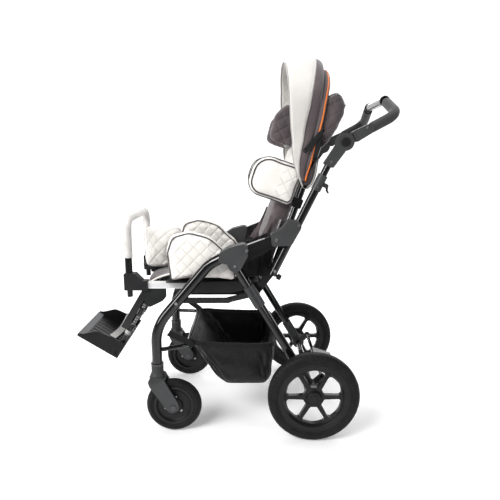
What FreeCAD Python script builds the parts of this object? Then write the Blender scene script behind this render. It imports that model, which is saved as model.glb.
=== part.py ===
import FreeCAD, Part
import math
import os

# Special needs stroller: a folding tube frame on two rear wheels and two casters, with a padded
# seat, a reclining back, a hood, a footrest and a turning push handle. Sizes are in millimetres.
# The front faces -X, the left side is at -Y and +Z is up. While the pieces are made, X is measured
# from the rear axle. At the end all of them move so that the origin is the bottom centre.

V = FreeCAD.Vector
ACROSS = V(0, 1, 0)
UP = V(0, 0, 1)

# Clearances
FIT = 0.08                  # radial, of a shaft or slide in its bore
GAP = 0.3                   # between faces that pass or rest on each other
PASS = 1.0                  # between pieces that swing past each other

# Frame, seen from the side
SIDE_Y = 205.0              # mid plane of the side frames
WHEELBASE = 500.0           # rear axle to caster stems
FRONT_LEG_R = 16.5
TUBE_WALL = 2.0
LEG_KNEE = (-328.0, 559.0)  # upper bend of the front leg
LEG_SLOPE = 49.7            # degrees, below the knee
LEG_TOP_SLOPE = 27.3        # degrees, above the knee
LEG_TOP_L = 98.0            # from the knee to the end in the hub
LEG_BEND_R = 150.0
LEG_KNEE_R = 110.0
HINGE = (-247.0, 558.0)     # fold hinge of the rear legs
HINGE_PIN_R = 4.0
HUB_T = 44.0
REAR_LEG_R = 14.0
REAR_CASTING_R = 18.0
REAR_CASTING_L = 74.0
REAR_CASTING_S = 117.0      # from the fold hinge, along the leg
FOLD_DEG = 40.0
ARM_FRONT = (-216.0, 605.0)
ARM_REAR = (-108.0, 645.0)
ARM_BAR_H = 27.0
ARM_BAR_T = 22.0
BOLT_R = 5.0
BOLT_H = 2.5

# Handle posts and push handle
POST_FOOT = (-131.0, 526.0)
POST_DEG = 64.0             # from level, leaning back
POST_R = 12.5
POST_L = 338.0
CLAMP_S = 317.0             # clamp collar, along the post
CLAMP_L = 50.0
COLLAR_WALL = 2.5           # clamp collar outside the post
LEVER_PIN_R = 3.0
LEVER_T = 8.0
INNER_TUBE_R = 10.5
HOUSING_S = 372.0
HOUSING_T = 34.0
PIVOT_S = 455.6
PIVOT_OFF = 12.5            # pivot behind the post's line
PIVOT_R = 26.0
PIVOT_PIN_R = 5.0
TONGUE_T = 14.0
BUTTON_R = 12.5
BUTTON_TRAVEL = 4.0
BUTTON_PROUD = 5.0
HANDLE_R = 12.0
HANDLE_DEG = 28.0           # arms above level
HANDLE_ARM_L = 172.0        # pivot to the rear corner
HANDLE_RISE = 50.0          # crossbar above the rear corners
HANDLE_MID_Y = 95.0         # half of the level crossbar
HANDLE_CASTING_L = 88.0
GRIP_R = 15.5

# Wheels
REAR_WHEEL_R = 145.0
REAR_TYRE_W = 46.0
REAR_TYRE_H = 33.0
LEG_TYRE_GAP = 19.0
AXLE_R = 10.0
STUB_R = 6.0
STUB_SHORT = 4.0            # stub ends inside the tyre's outer face
SPOKES = 6
CASTER_R = 90.0
CASTER_W = 34.0
CASTER_TYRE_H = 24.0
CASTER_TRAIL = 51.0
CASTER_AXLE_R = 5.0
FORK_SIDE_GAP = 3.0
FORK_ARM_T = 8.0
FORK_RIM_GAP = 4.0
FORK_CROWN_H = 45.0
FORK_CROWN_R = 19.5
STEM_R = 9.0
STEM_L = 54.0
WASHER_H = 6.0

# Knee links of the fold, and the brake
KNEE_PIVOT_Z = 437.0        # on the front leg
KNEE_KNUCKLE = (-270.0, 437.0)
KNEE_H = 18.0
KNEE_T = 5.0
BRAKE_BAR = (36.0, 178.0)
BRAKE_R = 6.0
PEDAL_L = 70.0
PEDAL_W = 90.0

# Seat
RAIL_Z = 480.0
RAIL_H = 22.0
RAIL_W = 14.0
RAIL_INSET = 55.0           # rails inside the side frames
RAIL_FRONT = -560.0
RAIL_REAR = -240.0
SLEEVE_WALL = 2.0
SLEEVE_FRONT = -378.0
SLEEVE_REAR = -168.0
SEAT_BAR_H = 18.0
CROSS_R = 9.0
REAR_CROSS_R = 11.0
REAR_CROSS_S = 16.0         # along the post
PAN_T = 4.0
PAN_FRONT = -468.0
PAN_REAR = -172.0
CUSHION_T = 38.0
HIP_T = 35.0
HIP_TOP = 664.0
HIP_FRONT = -472.0
POMMEL_FRONT = -566.0
POMMEL_REAR = -472.0
POMMEL_TOP = 662.0
POMMEL_W = 96.0
POMMEL_LIFT = 12.0          # above the pan
TONGUE_W = 44.0

# Bumper bar and footrest
BUMPER_X = -592.0
BUMPER_INSET = 4.0          # inside the rails
BUMPER_R = 9.0
BUMPER_TOP = 694.0
BUMPER_FOOT = 440.0
BUMPER_BEND_R = 42.0
SOCKET_TOP = 520.0
SOCKET_T = 30.0
COLLAR_R = 11.5
COLLAR_TOP = 570.0
FOAM_R = 14.0
FOOT_PIVOT = (-533.0, 440.0)
FOOT_PLATE_T = 6.0
FOOT_PIVOT_R = 7.0
HANGER_DEG = 31.0           # from plumb, leaning forward
HANGER_L = 152.0
HANGER_W = 22.0
HANGER_D = 22.0
HANGER_OFF = 18.0           # channel ahead of the rods
GUIDE_R = 12.0
GUIDE_L = 24.0
GUIDE_S = (62.0, 128.0)
ROD_R = 8.0
ROD_TOP_S = 32.0
FOOT_HINGE_S = 243.0
FOOT_PIN_R = 4.0
FOOT_EYE_R = 9.0
TRAY_W = 240.0
TRAY_L = 156.0
TRAY_T = 5.0
TRAY_WALL = 4.0
TRAY_BACK_H = 62.0
TRAY_DEG = 32.5             # toe above level

# Back, supports and hood
BACK_DEG = 19.4             # from plumb, leaning back
BACK_TUBE_R = 10.0
BACK_BAR_R = 9.0            # crossbar between the back tubes
BACK_BAR_DROP = 32.0        # crossbar below the top of the tubes
BACK_INSET = 50.0           # back tubes inside the side frames
BACK_L = 562.0
BACK_T = 50.0
BACK_EYE_R = 17.0
BACK_START = 26.0
TRUNK_LOW = 199.0
TRUNK_TOP = 327.0
TRUNK_DEPTH = 156.0
TRUNK_T = 30.0
TRUNK_CLAMP_S = 218.0
TRUNK_CLAMP_L = 30.0
CLAMP_WALL = 4.0
HEAD_LOW = 372.0
HEAD_TOP = 495.0
HEAD_T = 26.0
HEAD_W = 190.0
WING_T = 38.0
WING_DEPTH = 96.0
HOOD_S = 273.6              # hood pivot, along the back tube
HOOD_PIN_R = 5.0
HOOD_T = 5.0
HOOD_OVER = 111.6           # top of the hood above the top of the back
VISOR_DEG = (-8.5, 6.5)     # from plumb, leaning back
CANOPY_DEG = (7.3, 15.2)
CANOPY_DROP = 22.0          # folded cloth below the visor
HOOD_CORNER_R = 168.0
HOOD_DISC_R = 14.0
HOOD_DISC_T = 2.3
KNEE_LEVER_T = 3.0
KNEE_LEVER_R = 7.0
KNEE_REAR_S = 361.0         # pivot on the back tube
KNEE_FRONT_RADIUS = 107.0   # pivot on the visor, from the hood pivot
KNEE_ELBOW = (12.0, 957.0)
BAG_LOW = 392.0
BAG_TOP = 572.0
BAG_T = 28.0
BAG_OVERLAP = 1.0           # bag past the middle of the back tubes

# Basket
BASKET_TOP_FRONT = (-402.0, 292.0)
BASKET_TOP_REAR = (-112.0, 282.0)
BASKET_LOW_FRONT = (-300.0, 143.0)
BASKET_LOW_REAR = (-130.0, 143.0)
BASKET_W = 352.0
BASKET_WALL = 3.0
BASKET_BAR_R = 7.0

# Derived places
RAIL_Y = SIDE_Y - RAIL_INSET
BACK_TUBE_Y = SIDE_Y - BACK_INSET
CLAMP_R = POST_R + COLLAR_WALL
REAR_WHEEL_Y = SIDE_Y + REAR_LEG_R + LEG_TYRE_GAP + REAR_TYRE_W / 2
FORK_W = CASTER_W + 2 * (FORK_SIDE_GAP + FORK_ARM_T)
FORK_TOP_Z = 2 * CASTER_R + FORK_RIM_GAP + FORK_CROWN_H
LEG_BOTTOM_Z = FORK_TOP_Z + WASHER_H + GAP
SLEEVE_W = RAIL_W + 2 * (SLEEVE_WALL + GAP)
SLEEVE_H = RAIL_H + 2 * (SLEEVE_WALL + GAP)
SEAT_BAR_Z = RAIL_Z - SLEEVE_H / 2 - SEAT_BAR_H / 2
PAN_Z = RAIL_Z + SLEEVE_H / 2
SEAT_Z = PAN_Z + PAN_T + GAP
HIP_Y = SIDE_Y - HUB_T / 2 - 5.0 - HIP_T
HOOD_R = BACK_L - HOOD_S + HOOD_OVER
CANOPY_R = HOOD_R - CANOPY_DROP
HOOD_Y = SIDE_Y - HOUSING_T / 2 - 2 * PASS - 2 * (KNEE_LEVER_T + GAP)
BACK_W = 2 * (BACK_TUBE_Y - BACK_TUBE_R - CLAMP_WALL - PASS)


def side(x, z, y=-SIDE_Y):
    return V(x, y, z)


def direction(degrees):
    """Unit vector in the side view, turned up from the rear (+X)."""
    angle = math.radians(degrees)
    return V(math.cos(angle), 0, math.sin(angle))


def corner(before, point, after, radius):
    """Start, middle and end of the arc that rounds a corner."""
    back = (before - point).normalize()
    ahead = (after - point).normalize()
    half = back.getAngle(ahead) / 2
    reach = radius / math.tan(half)
    inward = (back + ahead).normalize() * (radius / math.sin(half) - radius)
    return point + back * reach, point + inward, point + ahead * reach


def bent_wire(points, radii, closed=False):
    """Straight runs through the points with a tangent arc at each corner that has a radius."""
    count = len(points)
    rounds = []
    for i, point in enumerate(points):
        is_end = not closed and i in (0, count - 1)
        radius = 0 if is_end else radii[i]
        if radius == 0:
            rounds.append((point, None, point))
        else:
            rounds.append(corner(points[i - 1], point, points[(i + 1) % count], radius))
    edges = []
    for i, (start, middle, end) in enumerate(rounds):
        if middle is not None:
            edges.append(Part.Arc(start, middle, end).toShape())
        if i < count - 1 or closed:
            following = rounds[(i + 1) % count][0]
            if (following - end).Length > 1e-6:
                edges.append(Part.LineSegment(end, following).toShape())
    return Part.Wire(edges)


def pipe(points, radii, radius):
    """Round bar along a bent path."""
    path = bent_wire(points, [0] + list(radii) + [0])
    ring = Part.Wire([Part.Circle(points[0], points[1] - points[0], radius).toShape()])
    return path.makePipeShell([ring], True, False)


def rod(start, end, radius):
    return Part.makeCylinder(radius, (end - start).Length, start, end - start)


def cross_rod(x, z, y0, y1, radius):
    return Part.makeCylinder(radius, y1 - y0, V(x, y0, z), ACROSS)


def box(x0, x1, y0, y1, z0, z1):
    return Part.makeBox(x1 - x0, y1 - y0, z1 - z0, V(x0, y0, z0))


def plate(outline, radii, y0, y1):
    """Flat piece with a side-view outline of (x, z) corners."""
    wire = bent_wire([V(x, y0, z) for x, z in outline], radii, True)
    return Part.Face(wire).extrude(V(0, y1 - y0, 0))


def strip(start, end, radius, y0, y1):
    """Flat bar with round ends between two points of the side view."""
    across = (end - start).cross(ACROSS).normalize() * radius
    corners = [start + across, end + across, end - across, start - across]
    bar = plate([(p.x, p.z) for p in corners], [0] * 4, y0, y1)
    for point in (start, end):
        bar = bar.fuse(cross_rod(point.x, point.z, y0, y1, radius))
    return bar.removeSplitter()


def turned(outline, radii, centre):
    """Round piece about the cross axis, from an outline of (y, radius) corners."""
    wire = bent_wire([centre + V(0, y, r) for y, r in outline], radii, True)
    return Part.Face(wire).revolve(centre, ACROSS, 360)


def mirrored(shape):
    return shape.mirror(V(0, 0, 0), ACROSS)


def pair(shape):
    return [shape, mirrored(shape)]


def inset(outline, distance):
    """Outline moved inward by a distance, corner by corner."""
    count = len(outline)
    points = [V(a, b, 0) for a, b in outline]
    area = sum(points[i - 1].cross(points[i]).z for i in range(count))
    inward = V(0, 0, math.copysign(1, area))
    moved = []
    for i, point in enumerate(points):
        first = inward.cross((point - points[i - 1]).normalize())
        second = inward.cross((points[(i + 1) % count] - point).normalize())
        moved.append(point + (first + second) * (distance / (1 + first.dot(second))))
    return [(p.x, p.y) for p in moved]


def pad(outline, radii, levels, place):
    """Stuffed pad: an outline drawn in by a different amount at each level."""
    wires = []
    for level, drawn_in in levels:
        points = [place(a, b, level) for a, b in inset(outline, drawn_in)]
        wires.append(bent_wire(points, [max(r - drawn_in, 4.0) for r in radii], True))
    return Part.makeLoft(wires, True, False)


def crowned(low, high, soft):
    """Levels of a pad that lies flat at its low face and has a crown on the other."""
    depth = high - low
    shares = ((0, 0.6), (0.3, 0.1), (0.6, 0.15), (0.86, 0.8), (1, 2.4))
    return [(low + depth * share, soft * drawn_in) for share, drawn_in in shares]


def swollen(low, high, soft):
    """Levels of a pad with a crown on both faces."""
    depth = high - low
    shares = ((0, 2.2), (0.14, 0.8), (0.5, 0), (0.86, 0.8), (1, 2.2))
    return [(low + depth * share, soft * drawn_in) for share, drawn_in in shares]


# Places along the slanted members

def leg_point(z):
    """Point on the straight of the left front leg at a height."""
    return side(LEG_KNEE[0] + (z - LEG_KNEE[1]) / math.tan(math.radians(LEG_SLOPE)), z)


def rear_leg_direction():
    return (V(0, -SIDE_Y, REAR_WHEEL_R) - side(*HINGE)).normalize()


def rear_leg_length():
    return (V(0, -SIDE_Y, REAR_WHEEL_R) - side(*HINGE)).Length


def on_rear_leg(distance):
    return side(*HINGE) + rear_leg_direction() * distance


def on_post(distance, behind=0.0):
    along = direction(POST_DEG)
    return side(*POST_FOOT) + along * distance + V(along.z, 0, -along.x) * behind


def post_outline(corners):
    points = [on_post(distance, behind) for distance, behind in corners]
    return [(p.x, p.z) for p in points]


def back_hinge():
    point = on_post(REAR_CROSS_S)
    return V(point.x, 0, point.z)


def on_back(distance, ahead=0.0, y=0.0):
    """Point on the back: along its tubes, ahead of their middle and across."""
    along = direction(90 - BACK_DEG)
    return back_hinge() + along * distance + V(-along.z, 0, along.x) * ahead + V(0, y, 0)


def on_rods(distance, ahead=0.0, y=0.0):
    """Point along the footrest rods, from their pivot down."""
    along = direction(270 - HANGER_DEG)
    return V(FOOT_PIVOT[0], y, FOOT_PIVOT[1]) + along * distance + V(along.z, 0, -along.x) * ahead


def foot_hinge_place():
    """Hinge of the footplate, ahead of its heel and above its underside."""
    return FOOT_EYE_R + TRAY_WALL + PASS, FOOT_EYE_R + TRAY_T + PASS


def foot_outline(corners):
    """Side-view outline in the footplate's own directions: towards the toe and up."""
    toe = direction(180 - TRAY_DEG)
    rise = direction(90 - TRAY_DEG)
    into, above = foot_hinge_place()
    heel = on_rods(FOOT_HINGE_S) - toe * into - rise * above
    points = [heel + toe * a + rise * b for a, b in corners]
    return [(p.x, p.z) for p in points]


def hood_pivot():
    return on_back(HOOD_S)


def on_hood(radius, lean, y=0.0):
    return hood_pivot() + direction(90 - lean) * radius + V(0, y, 0)


def handle_pivot():
    return on_post(PIVOT_S, PIVOT_OFF)


# Side frames

def front_leg_points(bottom):
    bend = leg_point(LEG_KNEE[1] - (WHEELBASE + LEG_KNEE[0]) * math.tan(math.radians(LEG_SLOPE)))
    knee = side(*LEG_KNEE)
    return [side(-WHEELBASE, bottom), bend, knee, knee + direction(LEG_TOP_SLOPE) * LEG_TOP_L]


def front_leg_bar():
    return pipe(front_leg_points(LEG_BOTTOM_Z), (LEG_BEND_R, LEG_KNEE_R), FRONT_LEG_R)


def front_leg():
    plug_top = LEG_BOTTOM_Z + STEM_L + TUBE_WALL
    hollow = pipe(front_leg_points(plug_top), (LEG_BEND_R, LEG_KNEE_R), FRONT_LEG_R - TUBE_WALL)
    stem_hole = Part.makeCylinder(STEM_R + FIT, STEM_L + GAP, side(-WHEELBASE, LEG_BOTTOM_Z), UP)
    return front_leg_bar().cut(hollow).cut(stem_hole)


def armrest_bar():
    front, rear = side(*ARM_FRONT), side(*ARM_REAR)
    lift = (rear - front).cross(ACROSS).normalize() * (ARM_BAR_H / 2)
    corners = [front + lift, rear + lift, rear - lift, front - lift]
    half = ARM_BAR_T / 2
    return plate([(p.x, p.z) for p in corners], [0] * 4, -SIDE_Y - half, -SIDE_Y + half)


def armrest_brace():
    """Blade below the armrest bar, from the hub to the handle bracket."""
    front, rear = side(*ARM_FRONT), side(*ARM_REAR)
    along = (rear - front).normalize()
    down = along.cross(ACROSS).normalize()
    if down.z > 0:
        down = down * -1
    corners = ((0, 0.5), (0.85, 0.5), (0.85, 0.72), (0.4, 1.2), (0, 1.35))
    length = (rear - front).Length
    points = [front + along * (length * a) + down * (ARM_BAR_H * b) for a, b in corners]
    half = ARM_BAR_T / 4
    return plate([(p.x, p.z) for p in points], [0, 0, 4, 20, 0], -SIDE_Y - half, -SIDE_Y + half)


def fold_room():
    """Space in the hub that the rear leg's eye and tube sweep through."""
    half = REAR_LEG_R + PASS / 2
    room = cross_rod(*HINGE, -SIDE_Y - half, -SIDE_Y + half, REAR_LEG_R + PASS)
    steps = 4
    for i in range(steps + 1):
        arm = rod(side(*HINGE), on_rear_leg(rear_leg_length() / 3), REAR_LEG_R + PASS)
        arm.rotate(side(*HINGE), ACROSS, FOLD_DEG * i / steps)
        room = room.fuse(arm)
    return room


def side_hub():
    x, z = HINGE
    offsets = ((-52, 12), (-47, 40), (-20, 57), (26, 69), (40, 63), (40, 30), (26, 4), (17, -13),
               (0, -20), (-16, -12), (-24, 6))
    radii = (9, 14, 40, 14, 9, 12, 24, 11, 14, 10, 10)
    half = HUB_T / 2
    hub = plate([(x + a, z + b) for a, b in offsets], radii, -SIDE_Y - half, -SIDE_Y + half)
    pin = cross_rod(x, z, -SIDE_Y - half, -SIDE_Y + half, HINGE_PIN_R)
    for other in (front_leg_bar(), armrest_bar(), armrest_brace(), fold_room(), pin):
        hub = hub.cut(other)
    return max(hub.Solids, key=lambda solid: solid.Volume)


def handle_bracket():
    outline = ((-134, 619), (-138, 657), (-103, 674), (-86, 697), (-53, 697), (-43, 679), (-74, 622))
    half = HUB_T / 2
    bracket = plate(outline, (8, 10, 30, 12, 12, 14, 16), -SIDE_Y - half, -SIDE_Y + half)
    for other in (post_bar(), armrest_bar(), armrest_brace()):
        bracket = bracket.cut(other)
    return max(bracket.Solids, key=lambda solid: solid.Volume)


def post_bar():
    return rod(on_post(0), on_post(POST_L), POST_R)


def handle_post():
    return post_bar().cut(rod(on_post(TUBE_WALL), on_post(POST_L), INNER_TUBE_R + FIT))


def lever_place():
    return on_post(CLAMP_S, CLAMP_R + LEVER_PIN_R + 5.0)


def height_clamp():
    low, high = CLAMP_S - CLAMP_L / 2, CLAMP_S + CLAMP_L / 2
    clamp = rod(on_post(low), on_post(high), CLAMP_R)
    pivot = lever_place()
    ear = LEVER_T / 2 + 4.0
    clamp = clamp.fuse(strip(on_post(CLAMP_S), pivot, LEVER_PIN_R + 3.5, -SIDE_Y - ear, -SIDE_Y + ear))
    clamp = clamp.cut(post_bar()).cut(rod(on_post(low), on_post(high), INNER_TUBE_R + FIT))
    half = LEVER_T / 2 + GAP
    slot = strip(on_post(CLAMP_S, CLAMP_R + 6.0), on_post(CLAMP_S, CLAMP_R + 30.0), 12.0,
                 -SIDE_Y - half, -SIDE_Y + half)
    pin = cross_rod(pivot.x, pivot.z, -SIDE_Y - ear, -SIDE_Y + ear, LEVER_PIN_R)
    return clamp.cut(slot).fuse(pin)


def clamp_lever():
    """Hooked quick-release lever behind the clamp collar."""
    middle = CLAMP_R + LEVER_PIN_R + 5.0
    corners = ((5, -4), (6, 3), (-1, 7), (-9, 10), (-15, 17), (-18, 15), (-14, 7), (-6, 2), (-5, -3))
    outline = post_outline([(CLAMP_S + a, middle + b) for a, b in corners])
    half = LEVER_T / 2
    lever = plate(outline, (2, 3, 4, 5, 1.2, 1.2, 5, 3, 2), -SIDE_Y - half, -SIDE_Y + half)
    pivot = lever_place()
    return lever.cut(cross_rod(pivot.x, pivot.z, -SIDE_Y - half, -SIDE_Y + half, LEVER_PIN_R + FIT))


def front_cross_place():
    return leg_point(SEAT_BAR_Z)


def basket_bar_place():
    """Middle of the basket bar, just ahead of the basket's front edge."""
    top, low = side(*BASKET_TOP_FRONT), side(*BASKET_LOW_FRONT)
    along = (low - top).normalize()
    ahead = V(along.z, 0, -along.x)
    return top + along * 6.0 + ahead * (BASKET_BAR_R + GAP)


def cross_tubes():
    front = front_cross_place()
    rear = back_hinge()
    tubes = [cross_rod(front.x, front.z, -SIDE_Y, SIDE_Y, CROSS_R),
             cross_rod(rear.x, rear.z, -SIDE_Y, SIDE_Y, REAR_CROSS_R)]
    bar = basket_bar_place()
    half = BASKET_W / 2
    start = V(-WHEELBASE, -SIDE_Y, bar.z - 6.0)
    path = [start, V(bar.x, -half, bar.z), V(bar.x, half, bar.z), V(start.x, -start.y, start.z)]
    tubes.append(pipe(path, (26.0, 26.0), BASKET_BAR_R))
    for other in pair(front_leg_bar()) + pair(post_bar()):
        tubes = [tube.cut(other) for tube in tubes]
    return tubes


def bolt_head(point, face_y):
    """Round bolt head standing on an outer side face."""
    return cross_rod(point.x, point.z, face_y - BOLT_H, face_y, BOLT_R)


def frame_bolts():
    face = -SIDE_Y - HUB_T / 2
    hinge = cross_rod(*HINGE, face, -SIDE_Y + HUB_T / 2, HINGE_PIN_R)
    hinge = hinge.fuse(bolt_head(side(*HINGE), face))
    arm = (side(*ARM_REAR) - side(*ARM_FRONT)).normalize()
    heads = [bolt_head(side(*ARM_FRONT) + arm * 6.0, face),
             bolt_head(side(*ARM_REAR) - arm * 14.0, face),
             bolt_head(on_post(176.0), face)]
    knee = leg_point(KNEE_PIVOT_Z)
    inner_face = -SIDE_Y + FRONT_LEG_R
    pin = cross_rod(knee.x, knee.z, inner_face - TUBE_WALL, knee_front_y()[1], HINGE_PIN_R)
    pin = pin.cut(front_leg_bar())
    outer = cross_rod(knee.x, knee.z, -SIDE_Y - FRONT_LEG_R - BOLT_H / 2, -SIDE_Y, BOLT_R)
    heads.append(outer.cut(front_leg_bar()))
    low = on_post(REAR_CROSS_S)
    outer = cross_rod(low.x, low.z, -SIDE_Y - POST_R - BOLT_H / 2, -SIDE_Y, BOLT_R)
    heads.append(outer.cut(post_bar()))
    bolts = []
    for head in [hinge, pin] + heads:
        bolts += pair(max(head.Solids, key=lambda solid: solid.Volume))
    return bolts


# Rear frame, knee links and brake

def rear_leg_bar():
    bar = rod(side(*HINGE), on_rear_leg(rear_leg_length() - AXLE_R - PASS), REAR_LEG_R)
    return bar.fuse(cross_rod(*HINGE, -SIDE_Y - REAR_LEG_R, -SIDE_Y + REAR_LEG_R, REAR_LEG_R))


def rear_leg():
    hollow = rod(on_rear_leg(2 * REAR_LEG_R), on_rear_leg(rear_leg_length()), REAR_LEG_R - TUBE_WALL)
    pin = cross_rod(*HINGE, -2 * SIDE_Y, 0, HINGE_PIN_R + FIT)
    return rear_leg_bar().cut(hollow).cut(pin)


def knee_front_y():
    """Cross places of the left front knee link, outer face first."""
    outer = -SIDE_Y + max(FRONT_LEG_R, REAR_CASTING_R) + PASS
    return outer, outer + KNEE_T


def knee_rear_y():
    outer = knee_front_y()[1] + PASS
    return outer, outer + KNEE_T


def upper_casting():
    first, last = REAR_CASTING_S - REAR_CASTING_L / 2, REAR_CASTING_S + REAR_CASTING_L / 2
    casting = rod(on_rear_leg(first), on_rear_leg(last), REAR_CASTING_R)
    pivot = on_rear_leg(REAR_CASTING_S)
    boss = cross_rod(pivot.x, pivot.z, -SIDE_Y, knee_rear_y()[0] - GAP, BOLT_R + 3.0)
    pin = cross_rod(pivot.x, pivot.z, -SIDE_Y, knee_rear_y()[1], HINGE_PIN_R)
    head = cross_rod(pivot.x, pivot.z, -SIDE_Y - REAR_CASTING_R - BOLT_H / 2, -SIDE_Y, BOLT_R)
    return casting.fuse(boss).fuse(pin).fuse(head).cut(rear_leg_bar())


def lower_casting():
    """Sleeve on the leg with the axle boss and the ear of the brake bar."""
    length = rear_leg_length()
    inner, outer = -SIDE_Y + 20.0, -SIDE_Y - 24.0
    casting = rod(on_rear_leg(length - 96.0), on_rear_leg(length - 12.0), REAR_CASTING_R - 1.0)
    casting = casting.fuse(cross_rod(0, REAR_WHEEL_R, outer, inner, 2.3 * AXLE_R))
    axle = V(0, 0, REAR_WHEEL_R)
    brake = V(BRAKE_BAR[0], 0, BRAKE_BAR[1])
    casting = casting.fuse(strip(axle, brake, BRAKE_R + 4.0, inner - 8.0, inner))
    casting = casting.cut(rear_leg_bar())
    casting = casting.cut(cross_rod(0, REAR_WHEEL_R, outer, inner, AXLE_R))
    return casting.cut(cross_rod(brake.x, brake.z, -2 * SIDE_Y, 0, BRAKE_R + FIT))


def rear_axle():
    inner = SIDE_Y + 24.0
    end = REAR_WHEEL_Y + REAR_TYRE_W / 2 - STUB_SHORT
    axle = cross_rod(0, REAR_WHEEL_R, -inner, inner, AXLE_R)
    return axle.fuse(cross_rod(0, REAR_WHEEL_R, -end, end, STUB_R))


def knee_link_front():
    start = leg_point(KNEE_PIVOT_Z)
    end = side(*KNEE_KNUCKLE)
    link = strip(start, end, KNEE_H / 2, *knee_front_y())
    return link.cut(cross_rod(start.x, start.z, -2 * SIDE_Y, 0, HINGE_PIN_R + FIT))


def knee_link_rear():
    start = on_rear_leg(REAR_CASTING_S)
    end = side(*KNEE_KNUCKLE)
    link = strip(start, end, KNEE_H / 2, *knee_rear_y())
    return link.cut(cross_rod(start.x, start.z, -2 * SIDE_Y, 0, HINGE_PIN_R + FIT))


def brake_bar():
    x, z = BRAKE_BAR
    reach = SIDE_Y - 20.0 + 7.0
    bar = cross_rod(x, z, -reach, reach, BRAKE_R)
    outline = ((x, z + BRAKE_R), (x + PEDAL_L, z - 18), (x + PEDAL_L, z - 26), (x, z - BRAKE_R))
    return bar.fuse(plate(outline, (0, 3, 3, 0), -PEDAL_W / 2, PEDAL_W / 2))


# Wheels

def tyre(centre, radius, width, depth):
    inner = radius - depth
    half = width / 2
    bulge = inner + 0.35 * depth
    outline = ((-half + 4, inner), (half - 4, inner), (half, bulge), (half - 2, radius - 9),
               (half - 12, radius), (-half + 12, radius), (-half + 2, radius - 9), (-half, bulge))
    return turned(outline, (0, 0, 6, 10, 14, 14, 10, 6), centre)


def spoked_rim(centre, radius, width):
    """Rim ring, web with rounded windows and a hub with a blind bore from the inner side."""
    half = width / 2
    ring = radius - 16.0
    hub = 20.0
    web = 7.0
    cap = 12.0
    proud = half + 2.0
    outline = ((-half, radius), (-half, ring), (-web, ring - 6), (-web, hub + 6), (-half, hub),
               (-half, cap), (-proud, cap), (-proud, 0), (proud, 0), (proud, cap), (half, cap),
               (half, hub), (web, hub + 6), (web, ring - 6), (half, ring), (half, radius))
    rim = turned(outline, (0, 3, 4, 4, 3, 0, 1, 0, 0, 1, 0, 3, 4, 4, 3, 0), centre)
    low, high = hub + 13.0, ring - 4.0
    spoke = 13.0
    wedge = math.pi / SPOKES
    wide = high * math.sin(wedge) - spoke / 2
    narrow = low * math.sin(wedge) - spoke / 2
    shoulder = high * math.cos(wedge)
    corners = ((-narrow, low), (narrow, low), (wide, shoulder), (0, high), (-wide, shoulder))
    window = plate([(centre.x + a, centre.z + b) for a, b in corners], (4, 4, 10, 40, 10),
                   centre.y - width, centre.y + width)
    for i in range(SPOKES):
        cut = window.copy()
        cut.rotate(centre, ACROSS, 360.0 / SPOKES * i)
        rim = rim.cut(cut)
    return rim


def rear_rim(centre):
    rim = spoked_rim(centre, REAR_WHEEL_R - REAR_TYRE_H, REAR_TYRE_W - 8.0)
    inward = -math.copysign(1, centre.y)
    blind = REAR_TYRE_W / 2 - STUB_SHORT + GAP
    bore = rod(centre - V(0, inward * blind, 0), centre + V(0, inward * REAR_TYRE_W, 0), STUB_R + FIT)
    return rim.cut(bore)


def caster_axle(sign):
    return V(-WHEELBASE + CASTER_TRAIL, sign * SIDE_Y, CASTER_R)


def caster_rim(centre):
    """Dished disc wheel with a hub."""
    radius = CASTER_R - CASTER_TYRE_H
    half = CASTER_W / 2
    bore = CASTER_AXLE_R + FIT
    outline = ((-half + 3, radius), (-half + 3, radius - 9), (-6, radius - 14), (-6, 30),
               (-half + 2, 26), (-half - 1, 20), (-half - 1, bore), (half + 1, bore),
               (half + 1, 20), (half - 2, 26), (6, 30), (6, radius - 14),
               (half - 3, radius - 9), (half - 3, radius))
    return turned(outline, (0, 2, 4, 6, 2, 1, 0, 0, 1, 2, 6, 4, 2, 0), centre)


def caster_fork():
    """Moulded fork: two slanting arms under a round crown."""
    stem = side(-WHEELBASE, 0)
    axle = caster_axle(-1)
    shoulder = 2 * CASTER_R + FORK_RIM_GAP + 9.0
    x = -WHEELBASE
    outline = ((x - 20, shoulder), (x - 28, shoulder - 14), (x - 22, shoulder - 32),
               (axle.x - 21, axle.z - 8), (axle.x - 6, axle.z - 20), (axle.x + 19, axle.z - 8),
               (axle.x + 17, axle.z + 14), (x + 26, shoulder - 12), (x + 20, shoulder))
    half = FORK_W / 2
    fork = plate(outline, (8, 10, 16, 14, 16, 14, 14, 10, 6), -SIDE_Y - half, -SIDE_Y + half)
    room = CASTER_W / 2 + FORK_SIDE_GAP
    reach = CASTER_R + FORK_RIM_GAP
    fork = fork.cut(cross_rod(axle.x, axle.z, -SIDE_Y - room, -SIDE_Y + room, reach))
    crown = Part.makeCone(half - 1.0, FORK_CROWN_R, 18.0, stem + UP * (shoulder - 6.0), UP)
    crown = crown.fuse(Part.makeCylinder(FORK_CROWN_R, FORK_TOP_Z - shoulder, stem + UP * shoulder, UP))
    fork = fork.fuse(crown)
    return fork.cut(cross_rod(axle.x, axle.z, -2 * SIDE_Y, 0, CASTER_AXLE_R)).removeSplitter()


def caster_pins():
    """Stem with its washer, and the axle bolt."""
    stem = side(-WHEELBASE, FORK_TOP_Z)
    washer = Part.makeCylinder(FRONT_LEG_R + 3.5, WASHER_H, stem, UP)
    washer = washer.fuse(Part.makeCylinder(STEM_R, STEM_L + WASHER_H - GAP, stem, UP))
    axle = caster_axle(-1)
    half = FORK_W / 2
    bolt = cross_rod(axle.x, axle.z, -SIDE_Y - half, -SIDE_Y + half, CASTER_AXLE_R)
    for face, height in ((-SIDE_Y - half - BOLT_H, BOLT_H), (-SIDE_Y + half, BOLT_H)):
        bolt = bolt.fuse(cross_rod(axle.x, axle.z, face, face + height, CASTER_AXLE_R + 4.0))
    return [washer, bolt]


# Push handle

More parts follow.
